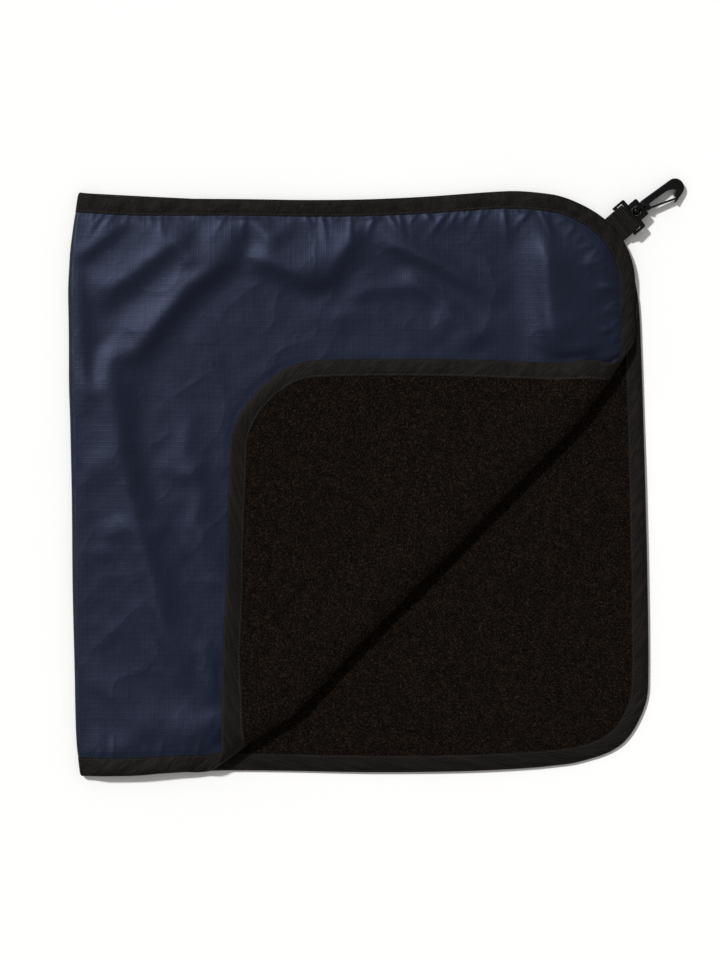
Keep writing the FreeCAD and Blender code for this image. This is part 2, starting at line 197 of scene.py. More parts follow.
# ---- how the towel lies: pins in the plan, each x, y and how far it moves, in millimetres
FOLD_PINS = [
    (-250, 250, 3.4, 4.2), (-250, 237, 1.2, 2.0), (-250, 194, -3.2, 0), (-250, 143, -3.6, 0),
    (-250, 73, -2.7, 0), (-250, 5, -1.9, 0), (-250, -95, -1.0, 0), (-250, -170, 0.7, 0),
    (-250, -233, 2.9, -2.0), (-250, -250, 5.1, -3.6),
]
UPPER_PINS = FOLD_PINS + [
    # top edge and its corner
    (-215, 250, 0, 0.2), (-130, 250, 0, -1.6), (-57, 250, 0, -2.5), (0, 250, 0, -2.1), (66, 250, 0, 1.0),
    (110, 250, 0, 4.2), (135, 250, 0, 5.2), (165, 250, 0, 2.4), (190, 245.7, 0, -1.6),
    (218, 228, -0.6, -2.6), (233, 205, -1.6, -1.6), (239, 185, -2.0, 0),
    # right edge, down to the roll
    (240, 165, -2.0, 3.0), (240, 140, -3.0, 9.0), (239.7, 101, -3.6, 21.0), (229, 91, -8.0, 9.0),
    (220, 81, -5.5, 5.8), (212, 73, -4.6, 4.8), (197, 58, -2.0, 2.0), (150, 11.4, -0.8, 0.8),
    # turned corner: its upper side
    (216, 106, 0, 2.2), (205, 102, 0, 4.6), (173, 106, 0, 0), (111, 106, 0, 1.0), (60, 106, 0, 2.0),
    (-41, 106, 0, 1.0), (-94, 84, 4.0, -4.0), (-116, 31, 2.8, 0), (-116, -2, 1.7, 0), (-116, -44, 0, 0),
    (-116, -101, -1.0, 0), (-116, -143, -3.5, 0), (-116, -172, -4.0, 0), (-113.5, -203, -6.8, 0),
    (-112, -218, -8.6, 0),
    # lower end of the roll
    (-111, -250, -18.0, 1.2), (-100, -239, -7.0, 6.4), (-85, -223, -3.6, 3.6), (-61, -200, 2.1, -2.1),
    (-37, -175, 1.8, -1.8), (0, -138.6, 0.4, -0.4), (69, -69, 0, 0),
    # bottom edge
    (-150, -250, -7.0, 0.4), (-190, -250, -2.0, -2.7),
    # inside
    (-120, 190, 0, 0), (40, 170, 0, 0), (-190, -60, 0, 0), (-190, 60, 0, 0), (0, 0, 0, 0),
    (160, 165, 0, 1.0),
]
LOWER_PINS = FOLD_PINS + [
    (-57, 250, 0, -4.0), (66, 250, 0, -1.0), (126, 250, 0, 1.0), (175, 250, -4.0, -5.0),
    (228, 228, -13.0, -10.0), (250, 190, -13.0, -5.0), (250, 160, -8.7, 0), (250, 121, -6.6, 0),
    (250, -13, -2.5, 0), (250, -150, 0, 0), (249.6, -183, -0.4, 0), (243, -205, -1.4, 1.0),
    (228, -228, -0.6, 2.4), (199, -246, 0, 7.0), (180, -250, 0, 6.4), (155, -250, 0, 3.8),
    (100, -250, 0, 0.6), (0, -250, 0, -0.6), (-127, -250, 0, 0.7), (-190, -250, 0, -2.7),
    (0, 0, 0, 0), (160, -160, 0, 0.6),
]
upper_plan = PlanWarp(UPPER_PINS)
lower_plan = PlanWarp(LOWER_PINS)


def beside_fold(x):
    """0 at the half fold, where the pieces meet edge to edge, and 1 a little way off."""
    return smooth((x - FOLD_X) / (14 * MM))


def across_corner(x, y):
    """Distance from the middle of the plan towards the corner that is turned back."""
    return (x - y) / ROOT2


def plan_points(along, across):
    """Points of the plan, from their distance along the corner's crease and across it."""
    return np.stack([(along + across) / ROOT2, (along - across) / ROOT2], 1)


def ground_swell(x, y):
    """How the lower leaf lies: a little off the ground, more so where nothing presses on it."""
    free = smooth((across_corner(x, y) - CREASE - 35 * MM) / (60 * MM))
    swell = 0.2 * noise(x, y, 70 * MM, 3) + free * (0.4 + 0.4 * noise(x, y, 55 * MM, 4))
    return GROUND + swell * MM * beside_fold(x)


def upper_swell(x, y):
    """The upper leaf follows the lower one, and its lower edge stands up near the fold."""
    covered = GROUND + 0.2 * MM * noise(x, y, 70 * MM, 3) * beside_fold(x)
    edge = np.exp(-((y + HALF) / (26 * MM)) ** 2)
    stretch = smooth((x - FOLD_X) / (20 * MM)) * smooth((-115 * MM - x) / (40 * MM))
    return covered + 3.4 * MM * edge * stretch


def lay_lower(flat, h):
    """From the flat plan to the lower leaf. h is 0 at the shell and THICK at the towelling."""
    place = np.empty((len(flat), 3))
    place[:, :2] = lower_plan(flat)
    place[:, 2] = h + ground_swell(flat[:, 0], flat[:, 1])
    return place


def roll_table():
    """The middle of the cloth from the start of the roll to its crest, by length of cloth."""
    nose = NOSE_TURN * CREASE_R
    length = np.linspace(0, nose + SHOULDER, 400)
    rest = np.clip((length - nose) / SHOULDER, 0, 1)
    turn = np.where(length < nose, length / CREASE_R, mix(NOSE_TURN, math.pi, 1 - (1 - rest) ** 2))
    step = np.diff(length)
    middle = (turn[1:] + turn[:-1]) / 2
    across = CREASE + np.concatenate([[0], np.cumsum(np.cos(middle) * step)])
    height = UPPER_MIDDLE + np.concatenate([[0], np.cumsum(np.sin(middle) * step)])
    return length, across, height, turn


ROLL = roll_table()
CREST_ACROSS = ROLL[1][-1]
CREST_HEIGHT = ROLL[2][-1]


def cloth_length(across):
    """Length of cloth from the middle of the leaf to a flat line across the corner."""
    return across + FLARE * smooth((across - CREASE) / FLARE_REACH)


def cloth_axes(flat):
    """Distance along the corner's crease, and length of cloth across it."""
    along = (flat[:, 0] + flat[:, 1]) / ROOT2
    return along, cloth_length(across_corner(flat[:, 0], flat[:, 1]))


def corner_plane(across):
    """Height of the middle of the turned corner where it lies flat."""
    return CREASE_AXIS_Z + CREASE_R - (CREASE - across) * CORNER_SLOPE + CORNER_REST


def roll_profile(length):
    """Distance across, height and turn of the cloth's middle, at a length of cloth across the corner."""
    table_length, table_across, table_height, table_turn = ROLL
    past = length - CREASE
    rolled = np.clip(past, 0, table_length[-1])
    across = np.interp(rolled, table_length, table_across)
    height = np.interp(rolled, table_length, table_height)
    turn = np.interp(rolled, table_length, table_turn)
    across = np.where(past < 0, length, across)

    back = np.maximum(past - table_length[-1], 0)
    plane = corner_plane(CREST_ACROSS - back)
    top = CREST_HEIGHT - corner_plane(CREST_ACROSS)
    share = np.clip(back / BUMP_REACH, 0, 1)
    bump = top * (1 + np.cos(math.pi * share)) / 2
    slope = top * np.sin(math.pi * share) * math.pi / (2 * BUMP_REACH) + CORNER_SLOPE
    lying = back > 0
    across = np.where(lying, CREST_ACROSS - back, across)
    height = np.where(lying, plane + bump, height)
    turn = np.where(lying, math.pi + np.arctan(slope), turn)
    return across, height, turn


def lay_upper(flat, h):
    """From the flat plan to the upper leaf and its turned corner.

    h is 0 at the towelling and THICK at the shell.
    """
    along, length = cloth_axes(flat)
    across, height, turn = roll_profile(length)
    off = h - THICK / 2
    across = across - np.sin(turn) * off
    height = height + np.cos(turn) * off
    plan = plan_points(along, across)
    place = np.empty((len(flat), 3))
    place[:, :2] = upper_plan(plan)
    place[:, 2] = height + upper_swell(plan[:, 0], plan[:, 1])
    return place


def lay_fold(turn, y, h):
    """The half fold: turn goes from 0 at the lower leaf to pi at the upper. h is 0 at the shell."""
    radius = FOLD_AXIS_Z - h
    x = FOLD_X - radius * np.sin(turn)
    share = turn / math.pi
    flat = np.stack([x, y], 1)
    place = np.empty((len(flat), 3))
    place[:, :2] = mix(lower_plan(flat), upper_plan(flat), share[:, None])
    at = np.full_like(y, FOLD_X)
    place[:, 2] = FOLD_AXIS_Z - radius * np.cos(turn) + mix(ground_swell(at, y), upper_swell(at, y), share)
    return place


# ---- wrinkles of the shell: each is a line of points, its height, and its width on either side of the line
RIDGES = [
    # the large bent ridge below the top edge
    ([(-206, 100), (-180, 133), (-147, 172), (-122, 189), (-94, 202)], 6.4, 25, 9),
    ([(-104, 200), (-78, 192), (-54, 181), (-30, 165)], 5.6, 24, 9),
    ([(-40, 164), (-25, 184), (-12, 206), (2, 230)], 5.0, 22, 9),
    # right of it
    ([(-20, 158), (8, 168), (40, 172), (74, 160)], 2.4, 14, 10),
    ([(6, 216), (38, 204), (66, 190), (108, 163)], 4.2, 14, 8),
    ([(30, 188), (56, 168), (84, 142)], 2.2, 10, 6),
    ([(62, 150), (88, 136), (100, 112)], 3.0, 22, 14),
    # light patch left of the corner, and the fold up to the right edge
    ([(160, 228), (160, 190), (163, 148), (170, 102)], 8.0, 36, 15),
    ([(176, 94), (198, 118), (228, 126)], 6.0, 20, 10),
    ([(196, 210), (212, 186), (218, 158)], 2.4, 16, 8),
    # upper left
    ([(-226, 144), (-211, 170), (-174, 200), (-140, 230)], 5.0, 22, 9),
    ([(-250, 192), (-228, 208), (-200, 232)], 2.6, 10, 5),
    ([(-163, 214), (-152, 199), (-146, 186)], 1.8, 7, 3),
    ([(-244, 205), (-240, 130), (-238, 50)], 2.6, 9, 13),
    ([(-98, 234), (-84, 218), (-72, 204)], 2.0, 12, 5),
    # long ridge down the left side, and the gentle one beside the turned corner
    ([(-232, 150), (-222, 107), (-200, -15), (-173, -114), (-140, -212)], 5.0, 34, 24),
    ([(-176, 96), (-152, 56), (-156, 24), (-140, -8), (-146, -36), (-124, -70), (-122, -104)], 2.8, 22, 12),
    ([(-184, 20), (-160, 8), (-132, 12)], 1.4, 8, 5),
    ([(-190, -30), (-170, -44), (-148, -70)], 1.6, 14, 8),
    ([(-140, -132), (-130, -158), (-124, -196)], 2.0, 12, 6),
    ([(-148, -212), (-141, -232)], 2.0, 5, 4),
    ([(-131, -208), (-136, -234)], 2.0, 6, 3),
]


def ridge(x, y, line, top, left_width, right_width):
    """One wrinkle: highest along the middle of its line, and running out at its ends."""
    points = np.array(line, float) * MM
    steps = np.diff(points, axis=0)
    lengths = np.hypot(steps[:, 0], steps[:, 1])
    starts = np.concatenate([[0], np.cumsum(lengths)])
    nearest = np.full(x.shape, np.inf)
    side = np.zeros(x.shape)
    at = np.zeros(x.shape)
    for point, step, length, start in zip(points[:-1], steps, lengths, starts):
        dx, dy = x - point[0], y - point[1]
        t = np.clip((dx * step[0] + dy * step[1]) / length ** 2, 0, 1)
        ex, ey = dx - t * step[0], dy - t * step[1]
        distance = np.hypot(ex, ey)
        nearer = distance < nearest
        nearest = np.where(nearer, distance, nearest)
        side = np.where(nearer, step[0] * ey - step[1] * ex, side)
        at = np.where(nearer, (start + t * length) / starts[-1], at)
    width = np.where(side > 0, left_width, right_width) * MM
    taper = smooth(at / 0.3) * smooth((1 - at) / 0.3)
    return top * MM * taper * np.exp(-(nearest / width) ** 1.25)


def seam_pleats():
    """Short pleats where the shell is gathered into the binding: start, end, height and width."""
    random = np.random.default_rng(11)
    inner_x, inner_y = UPPER_X - TAPE_WIDTH, HALF - TAPE_WIDTH
    pleats = []

    def gather(start, end, inward, spacing, longest, strength):
        count = int(math.hypot(end[0] - start[0], end[1] - start[1]) / spacing)
        for i in range(count):
            t = (i + random.uniform(0.15, 0.85)) / count
            at = (mix(start[0], end[0], t), mix(start[1], end[1], t))
            angle = math.atan2(inward[1], inward[0]) + random.uniform(-0.8, 0.8)
            size = random.uniform(0.3, 1.0)
            reach = longest * size ** 2.5 + 4 * MM
            tip = (at[0] + reach * math.cos(angle), at[1] + reach * math.sin(angle))
            pleats.append((at, tip, strength * size, 1.3 + 1.6 * size))

    gather((-0.235, inner_y), (-0.05, inner_y), (0, -1), 9 * MM, 30 * MM, 0.8)
    gather((-0.05, inner_y), (0.165, inner_y), (0, -1), 7 * MM, 40 * MM, 1.1)
    gather((0.175, 0.232), (0.222, 0.19), (-1, -0.9), 8 * MM, 30 * MM, 0.9)
    gather((inner_x, 0.185), (inner_x, 0.105), (-1, 0.1), 6 * MM, 34 * MM, 1.3)
    gather((-0.235, -inner_y), (-0.125, -inner_y), (0, 1), 8 * MM, 26 * MM, 0.9)
    return pleats


def leaf_distance(x, y, edge_x):
    """Distance in from the free edges of a leaf, negative outside."""
    qx = x - (edge_x - CORNER_RADIUS)
    qy = np.abs(y) - (HALF - CORNER_RADIUS)
    outside = np.hypot(np.maximum(qx, 0), np.maximum(qy, 0))
    return CORNER_RADIUS - outside - np.minimum(np.maximum(qx, qy), 0)


def shell_start(x, y):
    """How far the shell stands off the towelling before it settles."""
    inset = leaf_distance(x, y, UPPER_X) - TAPE_WIDTH
    held = 1 - np.exp(-np.maximum(inset, 0) / (7 * MM))
    held = held * smooth((CREASE - 12 * MM - across_corner(x, y)) / (60 * MM))
    rise = 1.0 * MM + 0.8 * MM * noise(x, y, 62 * MM, 5)
    for line, top, left_width, right_width in RIDGES:
        rise = rise + ridge(x, y, line, top, left_width, right_width)
    return np.maximum(rise, 0) * held


def head_room(x, y):
    """Highest that the shell may stand: less where the turned corner lies on it."""
    gap = corner_plane(across_corner(x, y)) - THICK / 2 - UPPER_Z - THICK
    left, top = CREASE * ROOT2 - HALF, UPPER_X - CREASE * ROOT2
    qx, qy = x - left - CORNER_RADIUS, top - CORNER_RADIUS - y
    inside = CORNER_RADIUS - np.hypot(np.minimum(qx, 0), np.minimum(qy, 0))
    inside = np.where((qx > 0) | (qy > 0), np.minimum(x - left, top - y), inside)
    covered = smooth((inside + 16 * MM) / (18 * MM))
    return mix(16 * MM, np.maximum(0.75 * gap, 0.4 * MM), covered)


CELL = 3.6 * MM                # mesh of the simulated shell
SIM_SCALE = 10                 # the solver is steadier on a cloth metres wide
SIM_FRAMES = 45
SIM_CLEARANCE = 0.004          # at the solver's scale
SHELL_CLOTH = {
    "quality": 7,
    "mass": 0.02,
    "tension_stiffness": 30,
    "compression_stiffness": 30,
    "shear_stiffness": 12,
    "bending_stiffness": 20,
    "tension_damping": 8,
    "compression_damping": 8,
    "shear_damping": 8,
    "air_damping": 3,
    "shrink_min": -0.002,      # the shell is cut a little full
}


def square(name, half):
    """A level square about the origin."""
    mesh = bpy.data.meshes.new(name)
    corners = [(-half, -half, 0), (half, -half, 0), (half, half, 0), (-half, half, 0)]
    mesh.from_pydata(corners, [], [(0, 1, 2, 3)])
    obj = bpy.data.objects.new(name, mesh)
    bpy.context.scene.collection.objects.link(obj)
    return obj


def settle_shell():
    """Lets the shell settle on the towelling. Gives a grid's first corner and the shell's shift on it."""
    xs = FOLD_X + CELL * np.arange(-2, int((UPPER_X - FOLD_X) / CELL) + 3)
    ys = -HALF + CELL * np.arange(-2, int(2 * HALF / CELL) + 3)
    grid = grid_points(xs, ys)
    x, y = grid.T
    start = shell_start(x, y)
    shift = np.stack([np.zeros_like(x), np.zeros_like(x), start], 1)
    inset = leaf_distance(x, y, UPPER_X) - TAPE_WIDTH
    across = across_corner(x, y)
    inside = (inset > -1.2 * CELL) & (across < CREASE) & (x > FOLD_X - CELL)
    free = (inset > 0) & (across < CREASE - 14 * MM) & (x > FOLD_X + CELL)
    quads = grid_quads(len(xs), len(ys))
    quads = quads[inside[quads].all(1)]
    settled = run_cloth(np.column_stack([grid, start]), quads, free)
    shift[inside] = (settled - np.column_stack([grid, np.zeros_like(x)]))[inside]
    table = shift.reshape(len(xs), len(ys), 3)
    for axis in (0, 1):
        table = (np.roll(table, 1, axis) + 2 * table + np.roll(table, -1, axis)) / 4
    return xs[0], ys[0], table


def run_cloth(points, quads, free):
    """Runs the cloth solver on a grid whose points that aren't free are pinned."""
    scene = bpy.context.scene
    used, faces = drop_unused(quads, len(points))
    mesh = bpy.data.meshes.new("settling")
    mesh.from_pydata((points[used] * SIM_SCALE).tolist(), [], faces.tolist())
    cloth = bpy.data.objects.new("settling", mesh)
    scene.collection.objects.link(cloth)
    pins = cloth.vertex_groups.new(name="pins")
    pins.add(np.flatnonzero(~free[used]).tolist(), 1.0, "REPLACE")
    settings = cloth.modifiers.new("Cloth", "CLOTH")
    for name, value in SHELL_CLOTH.items():
        setattr(settings.settings, name, value)
    settings.settings.vertex_group_mass = "pins"
    settings.settings.effector_weights.gravity = 0.5
    settings.collision_settings.distance_min = SIM_CLEARANCE
    settings.collision_settings.collision_quality = 2

    ground = square("settling_ground", 4)
    ground.modifiers.new("Collision", "COLLISION")
    ground.collision.thickness_outer = SIM_CLEARANCE

    settings.point_cache.frame_start = 1
    settings.point_cache.frame_end = SIM_FRAMES
    for step in range(1, SIM_FRAMES + 1):
        scene.frame_set(step)
    shape = cloth.evaluated_get(bpy.context.evaluated_depsgraph_get()).to_mesh()
    settled = np.empty(len(used) * 3, np.float32)
    shape.vertices.foreach_get("co", settled)
    result = points.copy()
    result[used] = settled.reshape(-1, 3) / SIM_SCALE
    for obj, data in ((cloth, mesh), (ground, ground.data)):
        bpy.data.objects.remove(obj)
        bpy.data.meshes.remove(data)
    scene.frame_set(1)
    return result


def spline_weights(t):
    """Weights of the four grid points round a place, for a smooth surface through their averages."""
    near = 3 * t ** 3 - 6 * t ** 2 + 4
    far = -3 * t ** 3 + 3 * t ** 2 + 3 * t + 1
    return np.stack([(1 - t) ** 3, near, far, t ** 3]) / 6


def shell_shift(x, y):
    """Shift of the shell from lying flat on the towelling: x, y and z at each place."""
    first_x, first_y, table = SETTLED
    u, v = (x - first_x) / CELL, (y - first_y) / CELL
    i = np.clip(np.floor(u).astype(int), 1, table.shape[0] - 3)
    j = np.clip(np.floor(v).astype(int), 1, table.shape[1] - 3)
    wu, wv = spline_weights(np.clip(u - i, 0, 1)), spline_weights(np.clip(v - j, 0, 1))
    shift = np.zeros((len(x), 3))
    for a in range(4):
        for b in range(4):
            shift += (wu[a] * wv[b])[:, None] * table[i + a - 1, j + b - 1]
    inset = leaf_distance(x, y, UPPER_X) - TAPE_WIDTH
    held = smooth((inset + 0.5 * MM) / (5 * MM))
    held *= smooth((CREASE - 3 * MM - across_corner(x, y)) / (16 * MM))
    shift *= held[:, None]
    limit = head_room(x, y)
    over = np.maximum(shift[:, Z] / limit - 0.5, 0) * 2
    lower_half = limit * np.minimum(np.maximum(shift[:, Z], 0) / limit, 0.5)
    shift[:, Z] = lower_half + limit / 2 * (1 - np.exp(-over))
    shift[:, Z] += gathers(x, y, inset)
    return shift


def gathers(x, y, inset):
    """Height of the short pleats beside the binding."""
    rise = np.zeros(x.shape)
    near = (inset > -2 * MM) & (inset < 48 * MM)
    px, py = x[near], y[near]
    pleat = np.zeros(px.shape)
    for (ax, ay), (bx, by), top, width in seam_pleats():
        dx, dy = bx - ax, by - ay
        length = math.hypot(dx, dy)
        t = ((px - ax) * dx + (py - ay) * dy) / length ** 2
        off = ((px - ax) * dy - (py - ay) * dx) / length
        run = smooth((1 - t) / 0.9) * smooth((t + 0.12) / 0.12)
        pleat += top * MM * run * np.exp(-(off / (width * MM * (0.7 + 0.8 * np.clip(t, 0, 1)))) ** 2)
    rise[near] = pleat * smooth((inset[near] + 1.5 * MM) / (2 * MM))
    return rise


SETTLED = settle_shell()


# ---- meshes
def make_object(name, points, faces, uv, material):
    """A smooth mesh object. uv is the flat cloth in metres, one pair for each vertex."""
    mesh = bpy.data.meshes.new(name)
    mesh.from_pydata(np.asarray(points).tolist(), [], [list(map(int, f)) for f in faces])
    layer = mesh.uv_layers.new(name="flat")
    index = np.empty(len(mesh.loops), np.int32)
    mesh.loops.foreach_get("vertex_index", index)
    layer.data.foreach_set("uv", np.asarray(uv, np.float32)[index].ravel())
    mesh.shade_smooth()
    mesh.set_sharp_from_angle(angle=math.radians(55))
    mesh.materials.append(material)
    obj = bpy.data.objects.new(name, mesh)
    bpy.context.scene.collection.objects.link(obj)
    return obj


def open_edges(quads, count):
    """Directed edges of a patch that only one quad has."""
    heads = quads.ravel()
    tails = np.roll(quads, -1, axis=1).ravel()
    forward = heads.astype(np.int64) * count + tails
    backward = tails.astype(np.int64) * count + heads
    alone = ~np.isin(forward, backward)
    return heads[alone], tails[alone]


def trim(flat, quads, limits, reach):
    """Keeps the quads inside every limit, and pulls the ragged rim onto the limits' zero lines."""
    middle = flat[quads].mean(1)
    inside = np.all([limit(middle[:, 0], middle[:, 1]) > 0 for limit in limits], axis=0)
    quads = quads[inside]
    rim = np.unique(np.concatenate(open_edges(quads, len(flat))))
    for _ in range(3):
        for limit in limits:
            x, y = flat[rim, 0], flat[rim, 1]
            value = limit(x, y)
            tiny = 1e-6
            gx = (limit(x + tiny, y) - value) / tiny
            gy = (limit(x, y + tiny) - value) / tiny
            size = np.maximum(gx * gx + gy * gy, 1e-9)
            shift = np.where(np.abs(value) < reach, value, 0) / size
            flat[rim, 0] = x - shift * gx
            flat[rim, 1] = y - shift * gy
    used, quads = drop_unused(quads, len(flat))
    return flat[used], quads


def closed_sheet(name, flat, quads, outer, inner, uv, material):
    """A thin closed sheet from its two faces, which share their flat points and quads."""
    count = len(flat)
    heads, tails = open_edges(quads, count)
    rim = np.stack([tails, heads, heads + count, tails + count], 1)
    faces = np.concatenate([quads, quads[:, ::-1] + count, rim])
    return make_object(name, np.concatenate([outer, inner]), faces, np.concatenate([uv, uv]), material)


def flat_area(flat, quads):
    a, b, c, d = (flat[quads[:, i]] for i in range(4))
    p, q = c - a, d - b
    return float(np.abs(p[:, 0] * q[:, 1] - p[:, 1] * q[:, 0]).sum() / 2)


def upper_uv(flat):
    """Flat cloth of the upper leaf, which runs on from the lower leaf round the fold."""
    x, y = plan_points(*cloth_axes(flat)).T
    return np.stack([2 * FOLD_X - math.pi * FOLD_AXIS_Z - x, y], 1)


def under_tape(inset, inside, field):
    """A height that steps from under the tape to the open field."""
    return mix(inside, field, smooth((inset - TAPE_WIDTH + 0.6 * MM) / (1.6 * MM)))


def terry_loops(x, y):
    """Uneven pile of the towelling."""
    fine = noise(x, y, 2.6 * MM, 21) + 0.7 * noise(x, y, 5.2 * MM, 22)
    return (0.16 * MM * fine + 0.25 * MM * noise(x, y, 17 * MM, 23)) * beside_fold(x)


UNDER_TAPE = 0.62 * MM         # the tape holds each layer this far in from the cloth's face
SHELL_IN = 0.3 * MM            # the same in the open field, for the shell and for the pile
PILE_IN = 0.12 * MM
SHELL_FILM = 0.32 * MM
TERRY_BACK = 1.05 * MM         # back of the towelling, from the shell side


def layer_faces(layer, x, y, inset):
    """Heights of a layer's outer face and of its back, counted from the towelling side."""
    if layer == "shell":
        outer = under_tape(inset, THICK - UNDER_TAPE, THICK - SHELL_IN)
        return outer, outer - SHELL_FILM
    loops = terry_loops(x, y) * smooth((inset - TAPE_WIDTH) / (2 * MM))
    pile = under_tape(inset, UNDER_TAPE, PILE_IN) - loops
    return pile, np.full_like(pile, THICK - TERRY_BACK)


def leaf_piece(name, xs, ys, edge_x, layer, lay, material, beyond=None, before=None, puff=False):
    """A layer of a leaf, or of the turned corner, cut at lines across the corner."""
    grid = grid_points(xs, ys)
    limits = [lambda x, y: leaf_distance(x, y, edge_x) - CLOTH_EDGE]
    if before is not None:
        limits.append(lambda x, y: before - across_corner(x, y))
    if beyond is not None:
        limits.append(lambda x, y: across_corner(x, y) - beyond)
    reach = 0.9 * max(np.diff(xs).max(), np.diff(ys).max())
    flat, quads = trim(grid, grid_quads(len(xs), len(ys)), limits, reach)
    return layer_object(name, flat, quads, edge_x, layer, lay, material, puff)


def layer_object(name, flat, quads, edge_x, layer, lay, material, puff=False):
    """Lays one layer: the shell or the towelling of either leaf."""
    x, y = flat[:, 0], flat[:, 1]
    out, back = layer_faces(layer, x, y, leaf_distance(x, y, edge_x))
    if lay is lay_lower:
        out, back = THICK - out, THICK - back
    faces = [lay(flat, out), lay(flat, back)]
    if puff:
        shift = shell_shift(x, y)
        for face in faces:
            face += shift
    if (layer == "shell") == (lay is lay_lower):
        faces.reverse()
    uv = flat if lay is lay_lower else upper_uv(flat)
    obj = closed_sheet(name, flat, quads, faces[0], faces[1], uv, material)
    return obj, flat_area(flat, quads)


def crease_piece(name, layer, material):
    """A layer of the strip that rolls over between the upper leaf and the turned corner."""
    last = nominal_across(CREASE + STRIP)
    cloth_end = UPPER_X * ROOT2 - CREASE
    cloth_start = CREASE - HALF * ROOT2
    along = np.arange(cloth_start - 30 * MM, cloth_end + 30 * MM, 1.8 * MM)
    across = np.linspace(CREASE, last, 15)
    grid = plan_points(*grid_points(along, across).T)
    quads = grid_quads(len(along), len(across))[:, ::-1]
    limits = [lambda x, y: leaf_distance(x, y, UPPER_X) - CLOTH_EDGE]
    flat, quads = trim(grid, quads, limits, 1.6 * MM)
    return layer_object(name, flat, quads, UPPER_X, layer, lay_upper, material)


def nominal_across(length):
    """Flat distance across the corner whose cloth length this is."""
    table = np.linspace(CREASE, CREASE + 3 * STRIP, 400)
    return float(np.interp(length, cloth_length(table), table))


def fold_piece(name, layer, material):
    """A layer of the half fold."""
    turns = np.linspace(0, math.pi, 17)
    ys = np.arange(-HALF + CLOTH_EDGE, HALF - CLOTH_EDGE + 1e-9, 1.9 * MM)
    turn, y = grid_points(turns, ys).T
    x = np.full_like(y, FOLD_X)
    out, back = layer_faces(layer, x, y, HALF - np.abs(y))
    faces = [lay_fold(turn, y, THICK - out), lay_fold(turn, y, THICK - back)]
    if layer == "shell":
        lift = shell_shift(x, y)[:, Z] * smooth(turn / math.pi)
        for face in faces:
            face[:, X] -= lift * np.sin(turn)
            face[:, Z] -= lift * np.cos(turn)
        faces.reverse()
    flat = np.stack([FOLD_X - FOLD_AXIS_Z * turn, y], 1)
    quads = grid_quads(len(turns), len(ys))[:, ::-1]
    return closed_sheet(name, flat, quads, faces[1], faces[0], flat, material)


# ---- binding: a channel of tape. Its section is inset and height in millimetres, from the towelling side
# round the edge to the shell side, and then back through the inside of the tape
TAPE_SECTION = [
    (15.0, 0.45), (14.9, 0.12), (14.5, -0.02), (13.4, 0.16), (12.2, -0.06), (9.5, -0.22), (6.5, -0.25),
    (4.0, -0.12), (2.2, 0.15), (0.9, 0.6), (0.2, 1.2), (0.0, 1.8), (0.2, 2.4), (0.9, 3.0), (2.2, 3.45),
    (4.0, 3.72), (6.5, 3.85), (9.5, 3.82), (12.2, 3.66), (13.4, 3.44), (14.5, 3.62), (14.9, 3.48),
    (15.0, 3.15), (14.0, 3.0), (8.0, 3.1), (2.4, 2.95), (0.9, 1.8), (2.4, 0.65), (8.0, 0.5), (14.0, 0.6),
]
TAPE_FACES = 23                # the first points of the section are the tape's outside
TAPE_EDGE = 1.8                # height of the section's outermost point
PRESSED = 0.4                  # of the puckers, where the lower leaf's tape lies on the ground
OTHER_FACE = 50 * MM           # moves a tape's second face elsewhere in its pattern


def tape_ripple(run, inset):
    """Slanting puckers of a bias tape sewn round an edge."""
    slant = run + 0.8 * inset + 2 * MM * noise(run, inset, 16 * MM, 30)
    wave = noise(slant, 0.2 * inset, 4.2 * MM, 31) + 0.6 * noise(slant, 0.4 * inset, 9 * MM, 34)
    strength = 0.55 + 0.6 * noise(run, inset * 0.3, 38 * MM, 32)
    middle = smooth(inset / (2.5 * MM)) * smooth((14.8 * MM - inset) / (3 * MM))
    ends = smooth(run / (9 * MM)) * smooth((run[-1] - run) / (9 * MM))
    puckers = 0.5 * MM * wave * np.maximum(strength, 0.08)
    return (puckers + 0.18 * MM * noise(run, inset, 12 * MM, 33)) * middle * ends


def slim(h):
    """A section height without the tape's crown, for where two layers of tape lie against each other."""
    return min(max(h * MM, 0.05 * MM), THICK - 0.05 * MM)


def channel(name, path, lay, flipped=False):
    """Sweeps the tape's section: path gives the plan points for one inset, and lay puts them in place.

    The lower leaf's section is flipped, because its shell is below its towelling.
    """
    loops, uvs = [], []
    for number, (inset, h) in enumerate(TAPE_SECTION):
        flat = path(inset * MM)
        run = run_along(flat)
        height = np.full(len(flat), h * MM)
        if number < TAPE_FACES:
            outward = -1 if h < TAPE_EDGE else 1
            pressed = PRESSED if flipped and outward > 0 else 1.0
            height += pressed * outward * tape_ripple(run, np.full_like(run, inset * MM))
        height = mix(np.full(len(flat), slim(h)), height, beside_fold(flat[:, X]))
        loops.append(lay(flat, THICK - height if flipped else height))
        uvs.append(tape_uv(run, inset, h))
    return sweep(name, loops, uvs, TAPE, flipped)


def tape_uv(run, inset, h):
    """Places on the flat tape, for one line of its section."""
    return np.stack([run, np.full_like(run, inset * MM + (OTHER_FACE if h > TAPE_EDGE else 0))], 1)


def sweep(name, lines, uvs, material, flipped=False):
    """Joins the lines of a section into a solid with its two ends capped."""
    rings, uv = np.stack(lines, 1), np.stack(uvs, 1)
    count, sides = rings.shape[:2]
    start = np.arange(count - 1)[:, None] * sides
    here = start + np.arange(sides)[None, :]
    after = start + (np.arange(sides)[None, :] + 1) % sides
    quads = np.stack([here, after, after + sides, here + sides], -1)
    faces = quads.reshape(-1, 4).tolist()
    faces.append(list(range(sides))[::-1])
    faces.append([(count - 1) * sides + i for i in range(sides)])
    if flipped:
        faces = [face[::-1] for face in faces]
    return make_object(name, rings.reshape(-1, 3), faces, uv.reshape(-1, 2), material)


